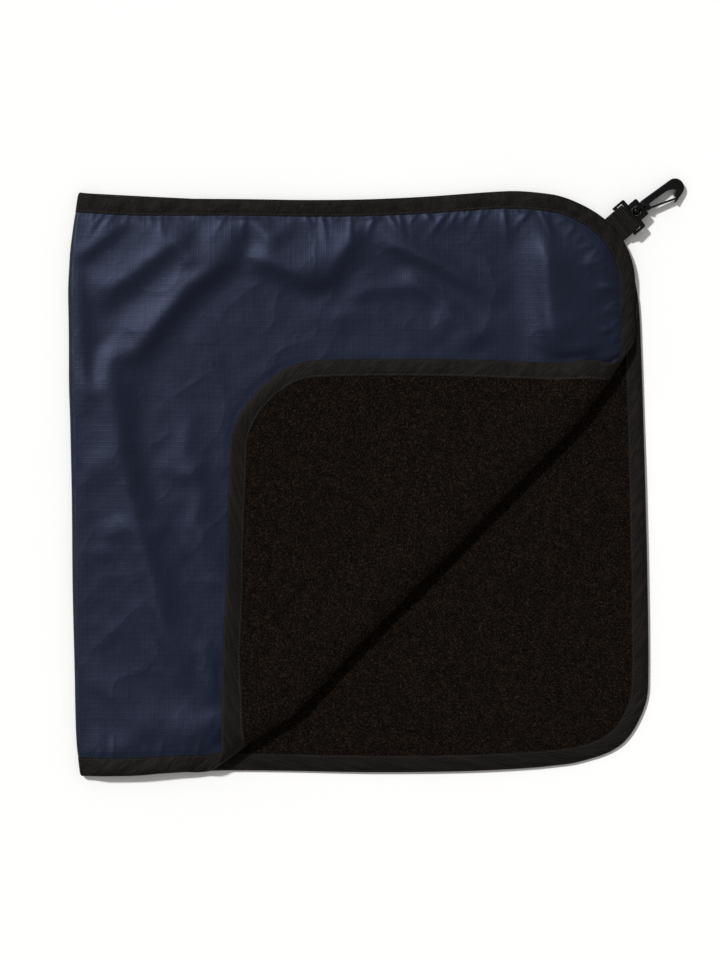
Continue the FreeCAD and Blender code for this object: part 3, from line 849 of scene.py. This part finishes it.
def arc(centre, radius, first, last):
    angles = np.radians(np.linspace(first, last, 54, endpoint=False))
    return np.stack([centre[0] + radius * np.cos(angles), centre[1] + radius * np.sin(angles)], 1)


def even(path, count):
    """Resamples each leg of a path so that every inset has the same number of stations."""
    return np.linspace(path[0], path[1], count, endpoint=False)


def lower_edge(inset):
    cx, cy = LOWER_X - CORNER_RADIUS, HALF - CORNER_RADIUS
    radius = CORNER_RADIUS - inset
    return np.concatenate([
        even([(FOLD_X, HALF - inset), (cx, HALF - inset)], 190),
        arc((cx, cy), radius, 90, 0),
        even([(LOWER_X - inset, cy), (LOWER_X - inset, -cy)], 160),
        arc((cx, -cy), radius, 0, -90),
        even([(cx, inset - HALF), (FOLD_X, inset - HALF)], 190),
        [(FOLD_X, inset - HALF)],
    ])


def upper_top_edge(inset):
    """Top and right edge of the upper leaf, down to the roll."""
    cx, cy = UPPER_X - CORNER_RADIUS, HALF - CORNER_RADIUS
    end = (UPPER_X - inset, UPPER_X - inset - CREASE * ROOT2)
    return np.concatenate([
        even([(FOLD_X, HALF - inset), (cx, HALF - inset)], 190),
        arc((cx, cy), CORNER_RADIUS - inset, 90, 0),
        even([(UPPER_X - inset, cy), end], 40),
        [end],
    ])


def upper_bottom_edge(inset):
    start = (inset - HALF + CREASE * ROOT2, inset - HALF)
    return np.concatenate([even([start, (FOLD_X, inset - HALF)], 66), [(FOLD_X, inset - HALF)]])


def corner_edge(inset):
    """Free edge of the turned corner, in the flat plan."""
    cx, cy = UPPER_X - CORNER_RADIUS, CORNER_RADIUS - HALF
    last = nominal_across(CREASE + STRIP) * ROOT2
    start = (UPPER_X - inset, UPPER_X - inset - last)
    end = (inset - HALF + last, inset - HALF)
    return np.concatenate([
        even([start, (UPPER_X - inset, cy)], 130),
        arc((cx, cy), CORNER_RADIUS - inset, 0, -90),
        even([(cx, inset - HALF), end], 130),
        [end],
    ])


def crease_edge(side):
    """Edge of the strip that rolls over, at its right or its lower end."""
    last = nominal_across(CREASE + STRIP) * ROOT2
    first = CREASE * ROOT2

    def path(inset):
        if side == "right":
            edge = UPPER_X - inset
            return np.linspace((edge, edge - first), (edge, edge - last), 22)
        edge = inset - HALF
        return np.linspace((edge + last, edge), (edge + first, edge), 22)

    return path


def fold_channel(name, side):
    """Binding of the half fold, at the top (1) or bottom (-1) edge."""
    turns = np.linspace(0, math.pi, 19)
    loops, uvs = [], []
    for inset, h in TAPE_SECTION:
        y = np.full_like(turns, side * (HALF - inset * MM))
        loops.append(lay_fold(turns, y, np.full_like(turns, THICK - slim(h))))
        uvs.append(tape_uv(FOLD_AXIS_Z * turns, inset, h))
    return sweep(name, loops, uvs, TAPE, side > 0)


# ---- stitches
STITCH = 2.7 * MM
STITCH_PITCH = 3.3 * MM
SEAM_HEIGHTS = (0.1 * MM, THICK - 0.1 * MM)
THREAD_WIDE = 0.27 * MM
THREAD_TALL = 0.2 * MM
AROUND = 8                     # points round a thread


def bead_faces(first, rings):
    """Faces of one closed stitch, whose points run ring by ring from the first."""
    faces = []
    for ring in range(rings - 1):
        for k in range(AROUND):
            a = first + ring * AROUND + k
            b = first + ring * AROUND + (k + 1) % AROUND
            faces.append([a, b, b + AROUND, a + AROUND])
    faces.append([first + k for k in range(AROUND)][::-1])
    faces.append([first + (rings - 1) * AROUND + k for k in range(AROUND)])
    return faces


def stitches(name, path, lay, flipped=False):
    """A row of lockstitches along the seam, on each face of the binding."""
    seam = path(SEAM)
    run = run_along(seam)
    count = int(run[-1] / STITCH_PITCH)
    centres = (np.arange(count) + 0.5) * run[-1] / count
    t = np.linspace(-1, 1, 7)
    fat = np.sqrt(np.maximum(1 - np.abs(t) ** 3, 0.02))
    turn = np.linspace(0, 2 * math.pi, AROUND, endpoint=False)
    at = centres[:, None] + t[None, :] * STITCH / 2
    x, y = (np.interp(at, run, seam[:, axis]) for axis in (X, Y))
    near = 0.2 * MM
    ahead, up = (np.interp(at + near, run, seam[:, axis]) - np.interp(at - near, run, seam[:, axis])
                 for axis in (X, Y))
    size = np.maximum(np.hypot(ahead, up), 1e-9)
    wide = THREAD_WIDE * fat[None, :, None] * np.cos(turn)
    tall = THREAD_TALL * fat[None, :, None] * np.sin(turn)
    px = x[:, :, None] + (-up / size)[:, :, None] * wide
    py = y[:, :, None] + (ahead / size)[:, :, None] * wide
    flat = np.stack([px.ravel(), py.ravel()], 1)
    points, faces = [], []
    for h in SEAM_HEIGHTS:
        height = np.broadcast_to(h + tall, px.shape).ravel()
        for stitch in range(count):
            faces += bead_faces((len(points) * count + stitch) * len(t) * AROUND, len(t))
        points.append(lay(flat, THICK - height if flipped else height))
    return make_object(name, np.concatenate(points), faces, np.concatenate([flat, flat]), THREAD)


# ---- materials
class Nodes:
    """Short calls for building a material's node tree."""

    def __init__(self, name):
        self.material = bpy.data.materials.new(name)
        self.material.use_nodes = True
        self.tree = self.material.node_tree
        self.tree.nodes.clear()
        self.output = self.tree.nodes.new("ShaderNodeOutputMaterial")

    def add(self, kind, inputs=None, **settings):
        node = self.tree.nodes.new(kind)
        for key, value in settings.items():
            setattr(node, key, value)
        for key, value in (inputs or {}).items():
            self.set(node.inputs[key], value)
        return node

    def set(self, socket, value):
        if isinstance(value, bpy.types.NodeSocket):
            self.tree.links.new(value, socket)
        else:
            socket.default_value = value

    def flat(self):
        """The flat cloth's coordinates, in metres."""
        return self.add("ShaderNodeUVMap", uv_map="flat").outputs["UV"]

    def split(self, vector):
        return self.add("ShaderNodeSeparateXYZ", {"Vector": vector}).outputs

    def math(self, operation, a, b=0.0, clamp=False):
        return self.add("ShaderNodeMath", {0: a, 1: b}, operation=operation, use_clamp=clamp).outputs[0]

    def scaled(self, vector, scale):
        return self.add("ShaderNodeMapping", {"Vector": vector, "Scale": scale}).outputs[0]

    def noise(self, vector, scale, detail=2.0, rough=0.5):
        inputs = {"Vector": vector, "Scale": scale, "Detail": detail, "Roughness": rough}
        return self.add("ShaderNodeTexNoise", inputs).outputs["Fac"]

    def ridged(self, vector, scale, detail):
        """Noise with sharp crests."""
        inputs = {"Vector": vector, "Scale": scale, "Detail": detail, "Offset": 1.0, "Gain": 1.0}
        settings = {"noise_type": "RIDGED_MULTIFRACTAL", "normalize": False}
        return self.add("ShaderNodeTexNoise", inputs, **settings).outputs["Fac"]

    def shifted(self, vector, scale, reach):
        """Places moved about by a noise, so that what follows curls."""
        noise = self.add("ShaderNodeTexNoise", {"Vector": vector, "Scale": scale, "Detail": 2.0})
        move = self.add("ShaderNodeVectorMath", {0: noise.outputs["Color"], 3: reach}, operation="SCALE")
        return self.add("ShaderNodeVectorMath", {0: vector, 1: move.outputs[0]}, operation="ADD").outputs[0]

    def weighted(self, *parts, clamp=False):
        """Sum of values, each times its weight."""
        total, *others = [self.math("MULTIPLY", value, weight) for value, weight in parts]
        for number, other in enumerate(others, 1):
            total = self.math("ADD", total, other, clamp and number == len(others))
        return total

    def waves(self, value, pitch):
        """0 to 1 and back once every pitch, in metres."""
        turned = self.math("MULTIPLY", value, 2 * math.pi / pitch)
        half = self.math("MULTIPLY", self.math("SINE", turned), 0.5)
        return self.math("ADD", half, 0.5)

    def remap(self, value, a, b, c, d):
        inputs = {"Value": value, "From Min": a, "From Max": b, "To Min": c, "To Max": d}
        return self.add("ShaderNodeMapRange", inputs).outputs[0]

    def colours(self, value, dark, light):
        node = self.add("ShaderNodeMix", {"Factor": value}, data_type="RGBA")
        node.inputs[6].default_value = (*dark, 1)
        node.inputs[7].default_value = (*light, 1)
        return node.outputs[2]

    def bump(self, height, distance, strength=1.0, normal=None):
        inputs = {"Height": height, "Distance": distance, "Strength": strength}
        if normal is not None:
            inputs["Normal"] = normal
        return self.add("ShaderNodeBump", inputs).outputs["Normal"]

    def finish(self, **inputs):
        named = {key.replace("_", " "): value for key, value in inputs.items()}
        shader = self.add("ShaderNodeBsdfPrincipled", named)
        self.tree.links.new(shader.outputs[0], self.output.inputs["Surface"])
        return self.material


RIPSTOP_PITCH = 4.6 * MM       # between the thicker yarns of the shell
YARN_PITCH = 0.62 * MM
BIAS_PITCH = 0.75 * MM         # yarns of the binding tape
RIB = 1.9 * MM                 # pitch of the webbing's ribs


def ripstop_material():
    """Thin coated nylon with a grid of thicker yarns."""
    n = Nodes("ripstop_shell")
    flat = n.flat()
    u, v, _ = n.split(flat)
    lines = []
    for value in (u, v):
        across = n.math("PINGPONG", value, RIPSTOP_PITCH / 2)
        lines.append(n.remap(across, 0.0, 0.55 * MM, 1.0, 0.0))
    grid = n.math("MAXIMUM", lines[0], lines[1])
    yarn = n.math("ADD", n.waves(u, YARN_PITCH), n.waves(v, YARN_PITCH))
    streak = n.noise(n.scaled(flat, (60, 900, 1)), 1.0, 3.0, 0.6)
    streak_up = n.noise(n.scaled(flat, (900, 60, 1)), 1.0, 3.0, 0.6)
    cloud = n.noise(flat, 14.0, 3.0)
    tone = n.weighted((streak, 0.3), (streak_up, 0.3), (cloud, 0.4), (grid, -0.16), clamp=True)
    colour = n.colours(tone, (0.0006, 0.0010, 0.0042), (0.0034, 0.0044, 0.0112))
    height = n.weighted((grid, 0.6), (yarn, 0.12))
    creases = n.ridged(n.shifted(flat, 30.0, 0.016), 20.0, 2.0)
    creased = n.bump(n.remap(creases, 0.4, 1.7, 0.0, 1.0), 1.6 * MM, 0.35)
    crinkle = n.bump(n.noise(flat, 170.0, 3.0, 0.55), 0.5 * MM, 0.35, creased)
    normal = n.bump(height, 0.12 * MM, 0.6, crinkle)
    rough = n.remap(tone, 0.2, 0.8, 0.49, 0.58)
    return n.finish(Base_Color=colour, Roughness=rough, Normal=normal, Specular_IOR_Level=0.35,
                    Specular_Tint=(0.53, 0.62, 1.0, 1))


def terry_material():
    """Looped pile: curly loops over gaps. The gaps are painted darker as painted shade and the loop tops
    lighter, both taken from the heights of the bump.
    """
    n = Nodes("towelling")
    flat = n.flat()
    strands = n.ridged(n.shifted(flat, 300.0, 0.0024), 620.0, 1.0)
    loops = n.remap(strands, 0.75, 1.75, 0.0, 1.0)
    fuzz = n.noise(flat, 1300.0, 2.0, 0.6)
    clumps = n.noise(flat, 120.0, 3.0, 0.6)
    height = n.weighted((loops, 0.65), (fuzz, 0.35))
    # painted shade: the tone follows the pile's height, darker in the gaps between loops and lighter on the
    # loop tops
    tone = n.remap(n.weighted((height, 0.8), (clumps, 0.2)), 0.24, 0.66, 0.0, 1.0)
    colour = n.colours(tone, (0.0014, 0.0009, 0.0007), (0.0230, 0.0156, 0.0112))
    normal = n.bump(n.weighted((height, 1.0), (clumps, 0.6)), 0.9 * MM, 1.0)
    return n.finish(Base_Color=colour, Roughness=0.95, Normal=normal, Specular_IOR_Level=0.03)


def tape_material():
    """Plain woven bias tape: its yarns run at 45 degrees to the edge."""
    n = Nodes("binding")
    flat = n.flat()
    u, v, _ = n.split(flat)
    one = n.waves(n.math("ADD", u, v), BIAS_PITCH)
    other = n.waves(n.math("SUBTRACT", u, v), BIAS_PITCH)
    weave = n.math("MULTIPLY", one, other)
    slant = n.noise(n.scaled(flat, (110, 110, 1)), 1.0, 3.0, 0.6)
    cloud = n.noise(flat, 45.0, 2.0)
    # the tape is lighter along its folded outer edge, on its towelling-side face
    lighter_edge = n.remap(v, 0.2 * MM, 2.2 * MM, 0.22, 0.0)
    # painted shade: the tone also follows the weave and the noise that make the puckers' bumps, darker in
    # their hollows
    tone = n.weighted((weave, 0.25), (slant, 0.45), (cloud, 0.25), (lighter_edge, 1.0), clamp=True)
    tone = n.remap(tone, 0.3, 0.75, 0.0, 1.0)
    colour = n.colours(tone, (0.0007, 0.0004, 0.0003), (0.0118, 0.0086, 0.0067))
    ripple = n.bump(slant, 1.4 * MM, 0.9)
    normal = n.bump(weave, 0.09 * MM, 0.6, ripple)
    return n.finish(Base_Color=colour, Roughness=0.6, Normal=normal, Specular_IOR_Level=0.09)


def thread_material():
    """Plied sewing thread, with painted shade in the grooves between its plies."""
    n = Nodes("thread")
    flat = n.flat()
    u, v, _ = n.split(flat)
    ply = n.waves(n.weighted((u, 1.0), (v, 1.6)), 0.5 * MM)
    fibre = n.noise(flat, 900.0, 2.0)
    # painted shade: the tone follows the plies' bump, darker in the grooves between plies and lighter on
    # their crowns
    tone = n.weighted((ply, 0.6), (fibre, 0.4), clamp=True)
    colour = n.colours(tone, (0.004, 0.003, 0.003), (0.018, 0.015, 0.014))
    normal = n.bump(ply, 0.08 * MM, 0.7)
    return n.finish(Base_Color=colour, Roughness=0.6, Normal=normal, Specular_IOR_Level=0.25)


def webbing_material():
    """Ribbed polypropylene webbing: ribs across, fine yarns along, with painted shade in the grooves and
    painted light on the crowns.
    """
    n = Nodes("webbing")
    flat = n.flat()
    u, v, _ = n.split(flat)
    ribs = n.waves(u, RIB)
    yarns = n.waves(v, 0.9 * MM)
    fibre = n.noise(n.scaled(flat, (400, 1400, 1)), 1.0, 3.0)
    weave = n.math("MULTIPLY", ribs, yarns)
    # painted shade and painted light: the tone follows the rib and yarn heights of the bump, near black in
    # the grooves and lighter on the crowns
    tone = n.remap(n.weighted((weave, 0.75), (fibre, 0.3)), 0.2, 0.95, 0.0, 1.0)
    colour = n.colours(tone, (0.0001, 0.0001, 0.0001), (0.0420, 0.0390, 0.0360))
    normal = n.bump(weave, 0.3 * MM, 1.0)
    return n.finish(Base_Color=colour, Roughness=0.65, Normal=normal, Specular_IOR_Level=0.05)


def plastic_material():
    """Moulded acetal: satin and a little uneven in tone, with painted highlight on the high spots of its
    fine grain.
    """
    n = Nodes("hook_plastic")
    where = n.add("ShaderNodeTexCoord").outputs["Object"]
    grain = n.noise(where, 1800.0, 3.0, 0.6)
    flow = n.noise(where, 120.0, 2.0)
    # painted highlight on the high spots of the bump's grain, over an uneven flow tone
    tone = n.weighted((grain, 0.5), (flow, 0.5))
    colour = n.colours(tone, (0.0006, 0.0006, 0.0006), (0.0032, 0.0032, 0.0033))
    rough = n.remap(flow, 0.3, 0.7, 0.24, 0.36)
    normal = n.bump(grain, 0.05 * MM, 0.35)
    return n.finish(Base_Color=colour, Roughness=rough, Normal=normal, Specular_IOR_Level=0.13)


def floor_material():
    """White sweep with a trace of grain."""
    n = Nodes("floor")
    where = n.add("ShaderNodeTexCoord").outputs["Object"]
    grain = n.noise(where, 6.0, 2.0)
    colour = n.colours(grain, (0.725, 0.725, 0.725), (0.74, 0.74, 0.745))
    return n.finish(Base_Color=colour, Roughness=0.9, Specular_IOR_Level=0.1)


SHELL = ripstop_material()
TERRY = terry_material()
TAPE = tape_material()
THREAD = thread_material()
WEBBING = webbing_material()
PLASTIC = plastic_material()


# ---- placing the pieces
def ride_as(piece, body, node):
    """Puts a piece on its body, in place of its CAD node."""
    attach(piece, body)
    if node:
        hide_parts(node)


def ride_layers(body, part, shell, terry, tapes, threads):
    """Puts the layers of one leaf on its body."""
    layers = (
        ("shell", "ripstop_shell", [shell]),
        ("towelling", "towelling", [terry]),
        ("binding", "binding", tapes),
        ("seam_thread", "thread", threads),
    )
    for node, slot, pieces in layers:
        for piece in pieces:
            ride_as(piece, body, f"{part}_{node}")


# ---- webbing tab, in the frame of its loop: u ahead along the tab, v across, w up
ACROSS = Vector(JOINTS["tab_flex"]["axis"]).normalized()
BAR = Vector(JOINTS["base_swing"]["pos_m"])
FLEX = Vector(JOINTS["tab_flex"]["pos_m"])
TAB_LENGTH = (BAR - FLEX).length
AHEAD = (BAR - FLEX).normalized()
UPWARD = AHEAD.cross(ACROSS).normalized()
WEB_WIDTH = 25 * MM
WEB_THICK = 1.3 * MM
SELVEDGE = 0.12 * MM           # height of the bead along each side of the webbing
LOOP_RADIUS = 2.45 * MM        # bar to the middle of the webbing
LOOP_SLACK = 3.2 * MM
LOOP_TOP = -0.5 * MM           # from here on the upper run is at its full height
LOOP_ROOT = 0.72 * MM          # half the height between the runs where they leave the binding
ROOT_LENGTH = 14 * MM          # of webbing sewn inside the binding
ROOT_THICK = 2.3 * MM
TACK_STITCHES = 24
TACK_START = -6.4 * MM
TACK_LENGTH = 0.9 * MM
TACK_SPAN = 0.88               # of the webbing's width
TACK_WIDE = 0.24 * MM


def tab_points(u, v, w):
    basis = np.array([AHEAD, ACROSS, UPWARD])
    return np.array(BAR) + np.stack([u, v, w], -1) @ basis


def ribbon(name, line, thick, rib):
    """Webbing along a line in the u, w plane: ribs across it, and rounded selvedges."""
    run = run_along(line)
    tangent = np.gradient(line, axis=0)
    tangent /= np.hypot(tangent[:, 0], tangent[:, 1])[:, None]
    normal = np.stack([-tangent[:, 1], tangent[:, 0]], 1)
    across = np.linspace(-1, 1, 35)
    edge = np.sqrt(np.clip(1 - np.abs(across) ** 14, 0, 1))
    upper_side = list(zip(across, edge))
    section = upper_side + [(a, -e) for a, e in upper_side[::-1]][1:-1]
    lines, uvs = [], []
    for a, e in section:
        ribs = rib * np.abs(np.sin(run * math.pi / RIB)) * (1 if e >= 0 else -1) * min(abs(e), 1)
        bead = SELVEDGE * math.exp(-((abs(a) - 0.93) / 0.04) ** 2) * (1 if e > 0 else -1)
        off = e * (thick / 2 - rib) + ribs + bead
        at = line + normal * off[:, None]
        side = np.full(len(run), a * WEB_WIDTH / 2)
        lines.append(tab_points(at[:, 0], side, at[:, 1]))
        uvs.append(np.stack([run, side + (OTHER_FACE if e < 0 else 0)], 1))
    return sweep(name, lines, uvs, WEBBING)


def run_height(u):
    """Height of the middle of the loop's upper run."""
    return mix(LOOP_ROOT, LOOP_RADIUS, smooth((u + TAB_LENGTH) / (TAB_LENGTH + LOOP_TOP)))


def loop_line():
    """From the flex line over the bar and back under it."""
    rising = np.linspace(-TAB_LENGTH, LOOP_TOP, 40, endpoint=False)
    over = np.stack([rising, run_height(rising)], 1)
    level = np.linspace((LOOP_TOP, LOOP_RADIUS), (LOOP_SLACK, LOOP_RADIUS), 16, endpoint=False)
    turn = np.radians(np.linspace(90, -90, 34))
    bend = np.stack([LOOP_SLACK + LOOP_RADIUS * np.cos(turn), LOOP_RADIUS * np.sin(turn)], 1)
    half = np.concatenate([over, level])
    return np.concatenate([half, bend, (half * [1, -1])[::-1]])


def tab_pieces():
    """The tab's loop, and the webbing's ends inside the binding."""
    loop = ribbon("webbing_tab_loop", loop_line(), WEB_THICK, 0.36 * MM)
    ride_as(loop, "webbing", "webbing_loop")

    line = np.linspace((-TAB_LENGTH - ROOT_LENGTH, 0), (-TAB_LENGTH + 0.6 * MM, 0), 60)
    line[:, 1] = (low("tab_root", Z) + high("tab_root", Z)) / 2 - BAR[Z] - line[:, 0] * AHEAD[Z]
    sewn = ribbon("webbing_tab_root", line, ROOT_THICK, 0.3 * MM)
    ride_as(sewn, "upper_leaf", "tab_root")


def bar_tack():
    """Close zigzag stitches across the tab, on its upper side."""
    along = TACK_START + TACK_LENGTH * (np.arange(TACK_STITCHES + 1) % 2)
    across = np.linspace(-0.5, 0.5, TACK_STITCHES + 1) * TACK_SPAN * WEB_WIDTH
    ends = np.stack([along, across], 1)
    turn = np.linspace(0, 2 * math.pi, AROUND, endpoint=False)
    rings = 6
    points, faces, uvs = [], [], []
    for a, b in zip(ends[:-1], ends[1:]):
        side = np.array([a[1] - b[1], b[0] - a[0]]) / np.hypot(*(b - a))
        faces += bead_faces(len(points) * AROUND, rings)
        for t in np.linspace(0, 1, rings):
            fat = math.sqrt(max(1 - abs(2 * t - 1) ** 4, 0.05))
            u, v = mix(a, b, t)[:, None] + side[:, None] * TACK_WIDE * fat * np.cos(turn)
            w = run_height(mix(a[0], b[0], t)) + WEB_THICK / 2 + THREAD_TALL * fat * np.sin(turn)
            points.append(tab_points(u, v, w))
            uvs.append(np.stack([u, v], 1))
    tack = make_object("webbing_bar_tack", np.concatenate(points), faces, np.concatenate(uvs), THREAD)
    ride_as(tack, "webbing", None)


# ---- the pieces of cloth
def bend_cloth(obj, node):
    """Bakes the placement of cloth that lies between two bodies, from the lower level to the upper, into
    its mesh, and hides its CAD node.
    """
    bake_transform(obj)
    if node:
        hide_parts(node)


def bend_at_hinge(obj, node):
    """Moves the roll's points a hundredth of a millimetre off its hinge's height, so that none lies on it,
    then bakes its placement and hides its CAD node.
    """
    gap = 0.01 * MM
    for vertex in obj.data.vertices:
        above = vertex.co.z - CREASE_AXIS_Z
        if abs(above) < gap:
            vertex.co.z = CREASE_AXIS_Z + math.copysign(gap, above)
    bend_cloth(obj, node)


def lower_leaf():
    xs = spans(FOLD_X, (-0.125, 5 * MM), (LOWER_X, 2.3 * MM))
    ys = spans(-HALF, (0.11, 2.3 * MM), (HALF, 5 * MM))
    coarse_x, coarse_y = spans(FOLD_X, (LOWER_X, 4 * MM)), spans(-HALF, (HALF, 4 * MM))
    shell, shell_area = leaf_piece(
        "lower_shell_cloth", coarse_x, coarse_y, LOWER_X, "shell", lay_lower, SHELL)
    terry, terry_area = leaf_piece("lower_terry", xs, ys, LOWER_X, "terry", lay_lower, TERRY)
    tape = channel("lower_binding_tape", lower_edge, lay_lower, flipped=True)
    thread = stitches("lower_stitching", lower_edge, lay_lower, flipped=True)
    ride_layers("lower_leaf", "lower", shell, terry, [tape], [thread])


def upper_leaf():
    fine_x = spans(FOLD_X, (-0.11, 1.7 * MM), (-0.06, 2.1 * MM), (0.175, 1.45 * MM), (UPPER_X, 1.9 * MM))
    fine_y = spans(-HALF, (-0.2, 2.2 * MM), (0.095, 3 * MM), (0.205, 2.1 * MM), (HALF, 1.6 * MM))
    xs, ys = spans(FOLD_X, (UPPER_X, 3.2 * MM)), spans(-HALF, (HALF, 3.2 * MM))
    shell, shell_area = leaf_piece(
        "upper_shell_cloth", fine_x, fine_y, UPPER_X, "shell", lay_upper, SHELL, before=CREASE, puff=True)
    terry, terry_area = leaf_piece(
        "upper_terry", xs, ys, UPPER_X, "terry", lay_upper, TERRY, before=CREASE)
    tapes = [
        channel("upper_binding_tape", upper_top_edge, lay_upper),
        channel("upper_binding_tape_2", upper_bottom_edge, lay_upper),
    ]
    threads = [
        stitches("upper_stitching", upper_top_edge, lay_upper),
        stitches("upper_stitching_2", upper_bottom_edge, lay_upper),
    ]
    ride_layers("upper_leaf", "upper", shell, terry, tapes, threads)


def turned_corner():
    start = nominal_across(CREASE + STRIP)
    xs = spans(-0.12, (UPPER_X, 1.9 * MM))
    ys = spans(-HALF, (0.11, 1.9 * MM))
    coarse_x, coarse_y = spans(-0.12, (UPPER_X, 3 * MM)), spans(-HALF, (0.11, 3 * MM))
    shell, shell_area = leaf_piece(
        "corner_shell_cloth", coarse_x, coarse_y, UPPER_X, "shell", lay_upper, SHELL, beyond=start)
    terry, terry_area = leaf_piece(
        "corner_terry", xs, ys, UPPER_X, "terry", lay_upper, TERRY, beyond=start)
    tape = channel("corner_binding_tape", corner_edge, lay_upper)
    thread = stitches("corner_stitching", corner_edge, lay_upper)
    ride_layers("turned_corner", "corner", shell, terry, [tape], [thread])


def crease():
    shell, shell_area = crease_piece("crease_shell_cloth", "shell", SHELL)
    terry, terry_area = crease_piece("crease_terry", "terry", TERRY)
    right = channel("crease_binding_tape", crease_edge("right"), lay_upper)
    left = channel("crease_binding_tape_2", crease_edge("lower"), lay_upper)
    bend_at_hinge(shell, "crease_shell")
    bend_at_hinge(terry, "crease_towelling")
    bend_at_hinge(right, "crease_binding")
    bend_at_hinge(left, None)


def half_fold():
    shell = fold_piece("fold_shell_cloth", "shell", SHELL)
    terry = fold_piece("fold_terry", "terry", TERRY)
    top = fold_channel("fold_binding_tape", 1)
    bottom = fold_channel("fold_binding_tape_2", -1)
    bend_cloth(shell, "fold_shell")
    bend_cloth(terry, "fold_towelling")
    bend_cloth(top, "fold_binding")
    bend_cloth(bottom, None)


# ---- floor, light and camera
SKY_STRENGTH = 0.5
SUN_STRENGTH = 3.75
SUN_TOWARDS = Vector((0.5, -0.5, -0.76))
VIEW_HEIGHT = 0.8352           # of the picture, at the towel
VIEW_MIDDLE = (-1.3 * MM, 3.9 * MM)


def stage_and_camera():
    floor = square("floor", 6.0)
    floor.data.materials.append(floor_material())
    floor.location.z = -0.2 * MM

    world = bpy.data.worlds.new("studio")
    bpy.context.scene.world = world
    world.use_nodes = True
    background = world.node_tree.nodes["Background"]
    background.inputs["Color"].default_value = (1, 0.985, 0.95, 1)
    background.inputs["Strength"].default_value = SKY_STRENGTH

    key = bpy.data.lights.new("key", "SUN")
    key.energy = SUN_STRENGTH
    key.angle = math.radians(6)
    key_object = bpy.data.objects.new("key", key)
    key_object.rotation_euler = SUN_TOWARDS.to_track_quat("-Z", "Y").to_euler()
    bpy.context.scene.collection.objects.link(key_object)

    camera = bpy.data.cameras.new("camera")
    camera.lens = 100
    camera.sensor_width = 36
    distance = VIEW_HEIGHT * camera.lens / camera.sensor_width
    camera_object = bpy.data.objects.new("camera", camera)
    camera_object.location = (*VIEW_MIDDLE, distance + 5 * MM)
    bpy.context.scene.collection.objects.link(camera_object)
    bpy.context.scene.camera = camera_object
    bpy.context.scene.view_settings.view_transform = "Standard"


stage_and_camera()
lower_leaf()
half_fold()
upper_leaf()
crease()
turned_corner()
tab_pieces()
bar_tack()
for name in ("hook_base", "hook_body", "hook_gate"):
    node = frame["nodes"][name]
    for material_slot in node.material_slots:
        material_slot.material = PLASTIC

bpy.context.view_layer.update()
